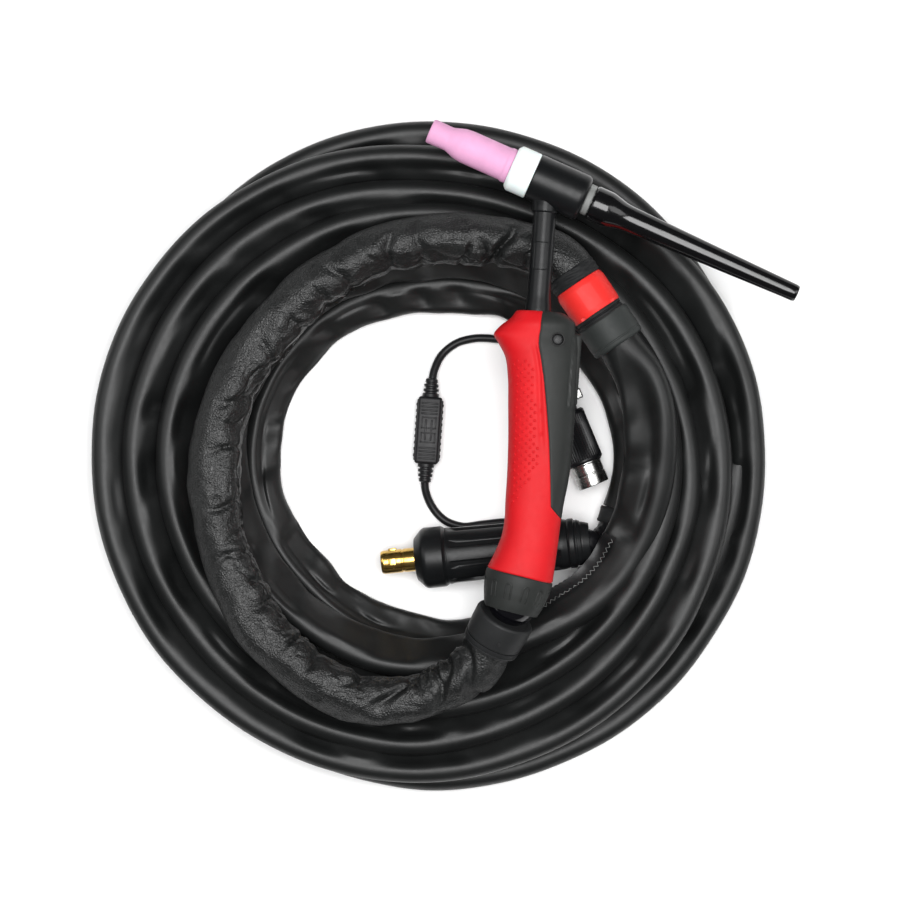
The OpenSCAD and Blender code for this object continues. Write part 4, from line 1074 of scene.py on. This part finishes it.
r = 7.15 + 0.14 * np.sin(10 * a + s[:, None] * 0.9) + 0.14 * np.sin(10 * a - s[:, None] * 0.9)
verts, faces = sweep(path, np.stack([r * np.cos(a), r * np.sin(a)], axis=2))
power_lead = make("power_lead_braid", verts, faces, "lead_black", "hose_package", ["power_lead"], sharp=60)
done(lathe("end_band", [
    (9.7, 0), (10.1, 0, 0.2), (10.4, 1.2, 0.3), (10.1, 2.2, 0.3), (10.1, 7, 0.3), (10.5, 8, 0.3),
    (9.6, 9, 0.3), (7.6, 9), (7.6, 6), (9.7, 5),
], END_FRAME, 72), "cuff_black", "hose_package", "end_cuff")

# ---- control lead, module and plug ----

CONTROL_ROUTE = [
    (48, -184, 6), (44, -192, 4), (36, -197.5, 2.5), (26, -197, 2.5), (16, -191, 2.5), (6, -184.5, 2.5),
    (-6, -182.5, 2.5), (-20, -184.5, 2.5), (-32, -186.5, 2.5), (-42, -183.5, 2.5), (-49.5, -176, 3),
    (-53.5, -167, 5), (-54, -158, 6.5), (-54, -134, 6.5), (-54, -110, 6.5), (-53, -101, 5),
    (-49.5, -92.5, 3), (-42, -85.5, 2.5), (-32, -82, 2.5), (-20, -81.5, 2.5), (-8, -83, 3), (3, -88, 5),
    (11.5, -98, 9.5), (16, -109.5, 11.2),
]
control_path, s = route([(x, y, z + FLOOR) for x, y, z in CONTROL_ROUTE], 1.2)
a = np.linspace(0, 2 * math.pi, 18, endpoint=False)[None, :]
r = 2.2 + 0.05 * noise2(s[:, None] / 3, a, 41)
verts, faces = sweep(control_path, np.stack([r * np.cos(a), r * np.sin(a)], axis=2))
control_lead = make("control_cable", verts, faces, "lead_black", "hose_package", ["control_lead"], sharp=60)

m = np.eye(4)
m[:3, 3] = MODULE
module = block("module", (-6.6, -18.6, -5.7), (6.6, 18.6, 5.2), m, 1.6, 4)
extras = [block("rim", (-7.2, -17, -3.2), (7.2, 17, 3.2), m, 0.6, 2)]
for y in list(np.arange(-15.5, -8.4, 1.9)) + list(np.arange(9.2, 16.4, 1.9)):
    extras.append(block("rib", (-4.6, y - 0.5, 4.6), (4.6, y + 0.5, 5.9), m, 0.25, 2))
for y0, y1 in ((-7, -1.2), (0.8, 7.4)):
    for x0, x1, ya, yb in ((-4.2, -3.5, y0, y1), (3.5, 4.2, y0, y1),
                           (-4.2, 4.2, y0, y0 + 0.7), (-4.2, 4.2, y1 - 0.7, y1)):
        extras.append(block("frame", (x0, ya, 4.6), (x1, yb, 5.8), m, 0.2, 2))
for x in (-1.6, 1.6):
    extras.append(block("bar", (x - 0.5, -5.6, 4.6), (x + 0.5, 6, 5.6), m, 0.2, 2))
for y in np.arange(-14, 15, 3.5):
    for x in (-7.3, 7.3):
        extras.append(block("side", (x - 0.25, y - 0.8, -2.6), (x + 0.25, y + 0.8, 2.6), m, 0.2, 1))
done(join(module, extras), "module_black", "hose_package", "inline_module", sharp=30)
reliefs = []
for side in (1, -1):
    m = axis_frame(MODULE + np.array([0, 18.4 * side, 0]), (0, side, 0))
    reliefs.append(lathe("relief", [
        (2.3, 0), (4.6, 0, 0.3), (4.6, 2.0, 0.3), (3.4, 2.2, 0.1), (3.4, 3.0, 0.1), (4.3, 3.2, 0.3),
        (4.3, 4.6, 0.3), (3.2, 4.8, 0.1), (3.2, 5.6, 0.1), (4.0, 5.8, 0.3), (4.0, 7.2, 0.3), (3.0, 7.4, 0.1),
        (3.0, 8.1, 0.1), (3.5, 8.3, 0.2), (3.3, 10, 0.3), (2.3, 10.4),
    ], m, 40))
done(join(reliefs[0], reliefs[1:]), "module_black", "hose_package", "module_reliefs")


def knurl(r, a, z):
    """Straight knurl between plain end bands."""
    band = smooth01((z - 13.2) / 0.5) * smooth01((38.4 - z) / 0.5) * (r > 9.7)
    tooth = np.abs(((a * 44 / math.pi) % 2) - 1)
    return r - 0.6 * band * (1 - tooth)


nut_rows = [(10.5, z) for z in (13.0, 13.2, 13.5, 13.8, 20, 26, 32, 37.8, 38.1, 38.4, 38.7)]
done(lathe("knurled_nut", [
    (8.5, 11), (9.6, 11, 0.2), (10.5, 11.8, 0.3), *nut_rows,
    (10.5, 39.5, 0.3), (9.6, 40.5, 0.2), (9.6, 39.2), (8.5, 39.2),
], CONTROL, 264, knurl), "nut_black", "coupling_nut", "coupling_nut", sharp=70)
done(lathe("plug_core", [
    (4.05, 7), (7.3, 7, 0.4), (7.6, 8, 0.3), (7.6, 12), (8.4, 12), (8.4, 38.9, 0.2), (7.45, 38.9),
    (7.45, 27), (4.05, 27),
], CONTROL, 72), "nut_black", "hose_package", "control_plug_body")
shell = lathe("chrome_shell", [
    (6.7, 27), (7.35, 27), (7.35, 40), (9.2, 40, 0.2), (9.4, 40.5, 0.2), (9.3, 41.2, 0.2), (8.6, 41.4, 0.2),
    (8.6, 46.4, 0.1), (8.35, 46.6, 0.1), (8.35, 47.2, 0.1), (8.6, 47.4, 0.1), (8.6, 53.2, 0.2),
    (8.3, 53.5, 0.1), (7.85, 53.3), (7.85, 41), (6.7, 41),
], CONTROL, 96)
shell = cut(shell, block("key", (-10.5, -1.5, 49.5), (-6.5, 1.5, 56), CONTROL, bevel=0))
done(shell, "connector_chrome", "hose_package", "control_plug_shell", sharp=30)
insert = lathe("insert", [
    (0, 41.1), (7.78, 41.1), (7.78, 50.3, 0.3), (6.4, 50.6, 0.2), (6.2, 50.1, 0.1), (0, 50.1),
], CONTROL, 64)
done(insert, "insert_brown", "hose_package", "control_plug_insert")
clamp = block("saddle", (-5, -5.5, 0), (5, 5.5, 7), CONTROL, 0.9)
ear = block("ear", (-3.5, -13, 0.6), (3.5, 8.5, 6.4), CONTROL, 0.8)
clamp = cut(clamp, ear, "UNION")
clamp = cut(clamp, lathe("hole", [(0, -2), (2.35, -2), (2.35, 9), (0, 9)], CONTROL, 32))
done(clamp, "connector_chrome", "hose_package", "cable_clamp", sharp=30)
screws = []
for y in (-6.8, 6.8):
    base = placed([(0, y, 3.5)], CONTROL)[0]
    m = axis_frame(base, (0, 0, 1), (1, 0, 0))
    one = lathe("cs", [(0, -3.4), (0.95, -3.4), (0.95, 3.4), (1.25, 3.5), (1.25, 4.4, 0.3), (0, 4.6)], m, 24)
    screws.append(cut(one, block("slot", (-1.6, -0.18, 4.1), (1.6, 0.18, 6), m, bevel=0)))
done(join(screws[0], screws[1:]), "steel", "hose_package", "clamp_screws", sharp=30)

# ---- painted highlight line along the sheath's edge, and the closure on the sheath ----

rows = np.arange(len(sheath_edge))
at = np.unwrap(np.arctan2(sheath_edge[:, 1] - COIL[1], sheath_edge[:, 0] - COIL[0]))
HIGHLIGHT_FROM, HIGHLIGHT_TO = 2750, 3650
highlight_rows = rows[(sheath_s > HIGHLIGHT_FROM) & (sheath_s < HIGHLIGHT_TO)]
highlight_path = sheath_edge[highlight_rows] + np.array([0, 0, -0.6])
# A pale tube along the outer edge of the turns over one stretch: a painted highlight where the edge catches the
# light
seam_and_edge_highlight = done(tube_on("sheath_edge_highlight", highlight_path, 0.3, 6), "sheath_black", "hose_package", sharp=80)
seam_and_edge_highlight.data.materials[0] = MATS["edge_highlight_grey"]
surface = np.empty(len(sheath.data.vertices) * 3)
sheath.data.vertices.foreach_get("co", surface)
surface = surface.reshape(-1, 3) / MM
surface = surface[surface[:, 2] > FLOOR + 22]
polar_r = np.hypot(surface[:, 0] - COIL[0], surface[:, 1] - COIL[1])
polar_a = np.degrees(np.arctan2(surface[:, 1] - COIL[1], surface[:, 0] - COIL[0])) % 360


def top_at(x, y, fallback):
    """Height of the sheath's upper side at a point."""
    near = (np.abs(surface[:, 0] - x) < 2.6) & (np.abs(surface[:, 1] - y) < 2.6)
    return float(surface[near, 2].max()) if near.any() else fallback


strip, stitch = [], []
z_before = FLOOR + 28
for k, t in enumerate(np.arange(306, 341, 0.8)):
    r_edge = float(polar_r[(np.abs(polar_a - t) < 1.2) & (polar_r < 135)].min())
    rows = []
    for out, up in ((-0.5, -1.2), (-0.5, 0.4), (2.5, 0.5), (6.8, 0.5), (6.8, -0.5), (2.5, -0.5)):
        x, y = COIL + polar(t, r_edge + out)
        if out > 0:
            z_before = top_at(x, y, z_before)
        rows.append((x, y, z_before + up))
    strip.append(rows)
    sx, sy = COIL + polar(t, r_edge + 4.6 + (1.6 if k % 2 else 0))
    stitch.append((sx, sy, top_at(sx, sy, z_before) + 0.7))
strip, stitch = np.array(strip), np.array(stitch)
for column in range(6):
    strip[1:-1, column, 2] = (strip[:-2, column, 2] + strip[1:-1, column, 2] + strip[2:, column, 2]) / 3
n = len(strip)
faces = grid_faces(n, 6) + [tuple(range(6)), tuple((n - 1) * 6 + k for k in range(6))]
strip = done(raw("closure_strip", strip.reshape(-1, 3), faces), "housing_black", "hose_package")
stitch = done(tube_on("closure_stitch", stitch, 0.26, 6), "cuff_black", "hose_package", sharp=80)
stitch.data.materials[0] = MATS["stitch_pale"]

# ---- the rest keeps its CAD shape, with a finish ----

SLOT_OF = {row["node"]: row["material_slot"] for row in frame["record"]["subparts"]}
for name, obj in nodes.items():
    if not obj.hide_render:
        obj.data.materials.clear()
        obj.data.materials.append(MATS[SLOT_OF[name]])
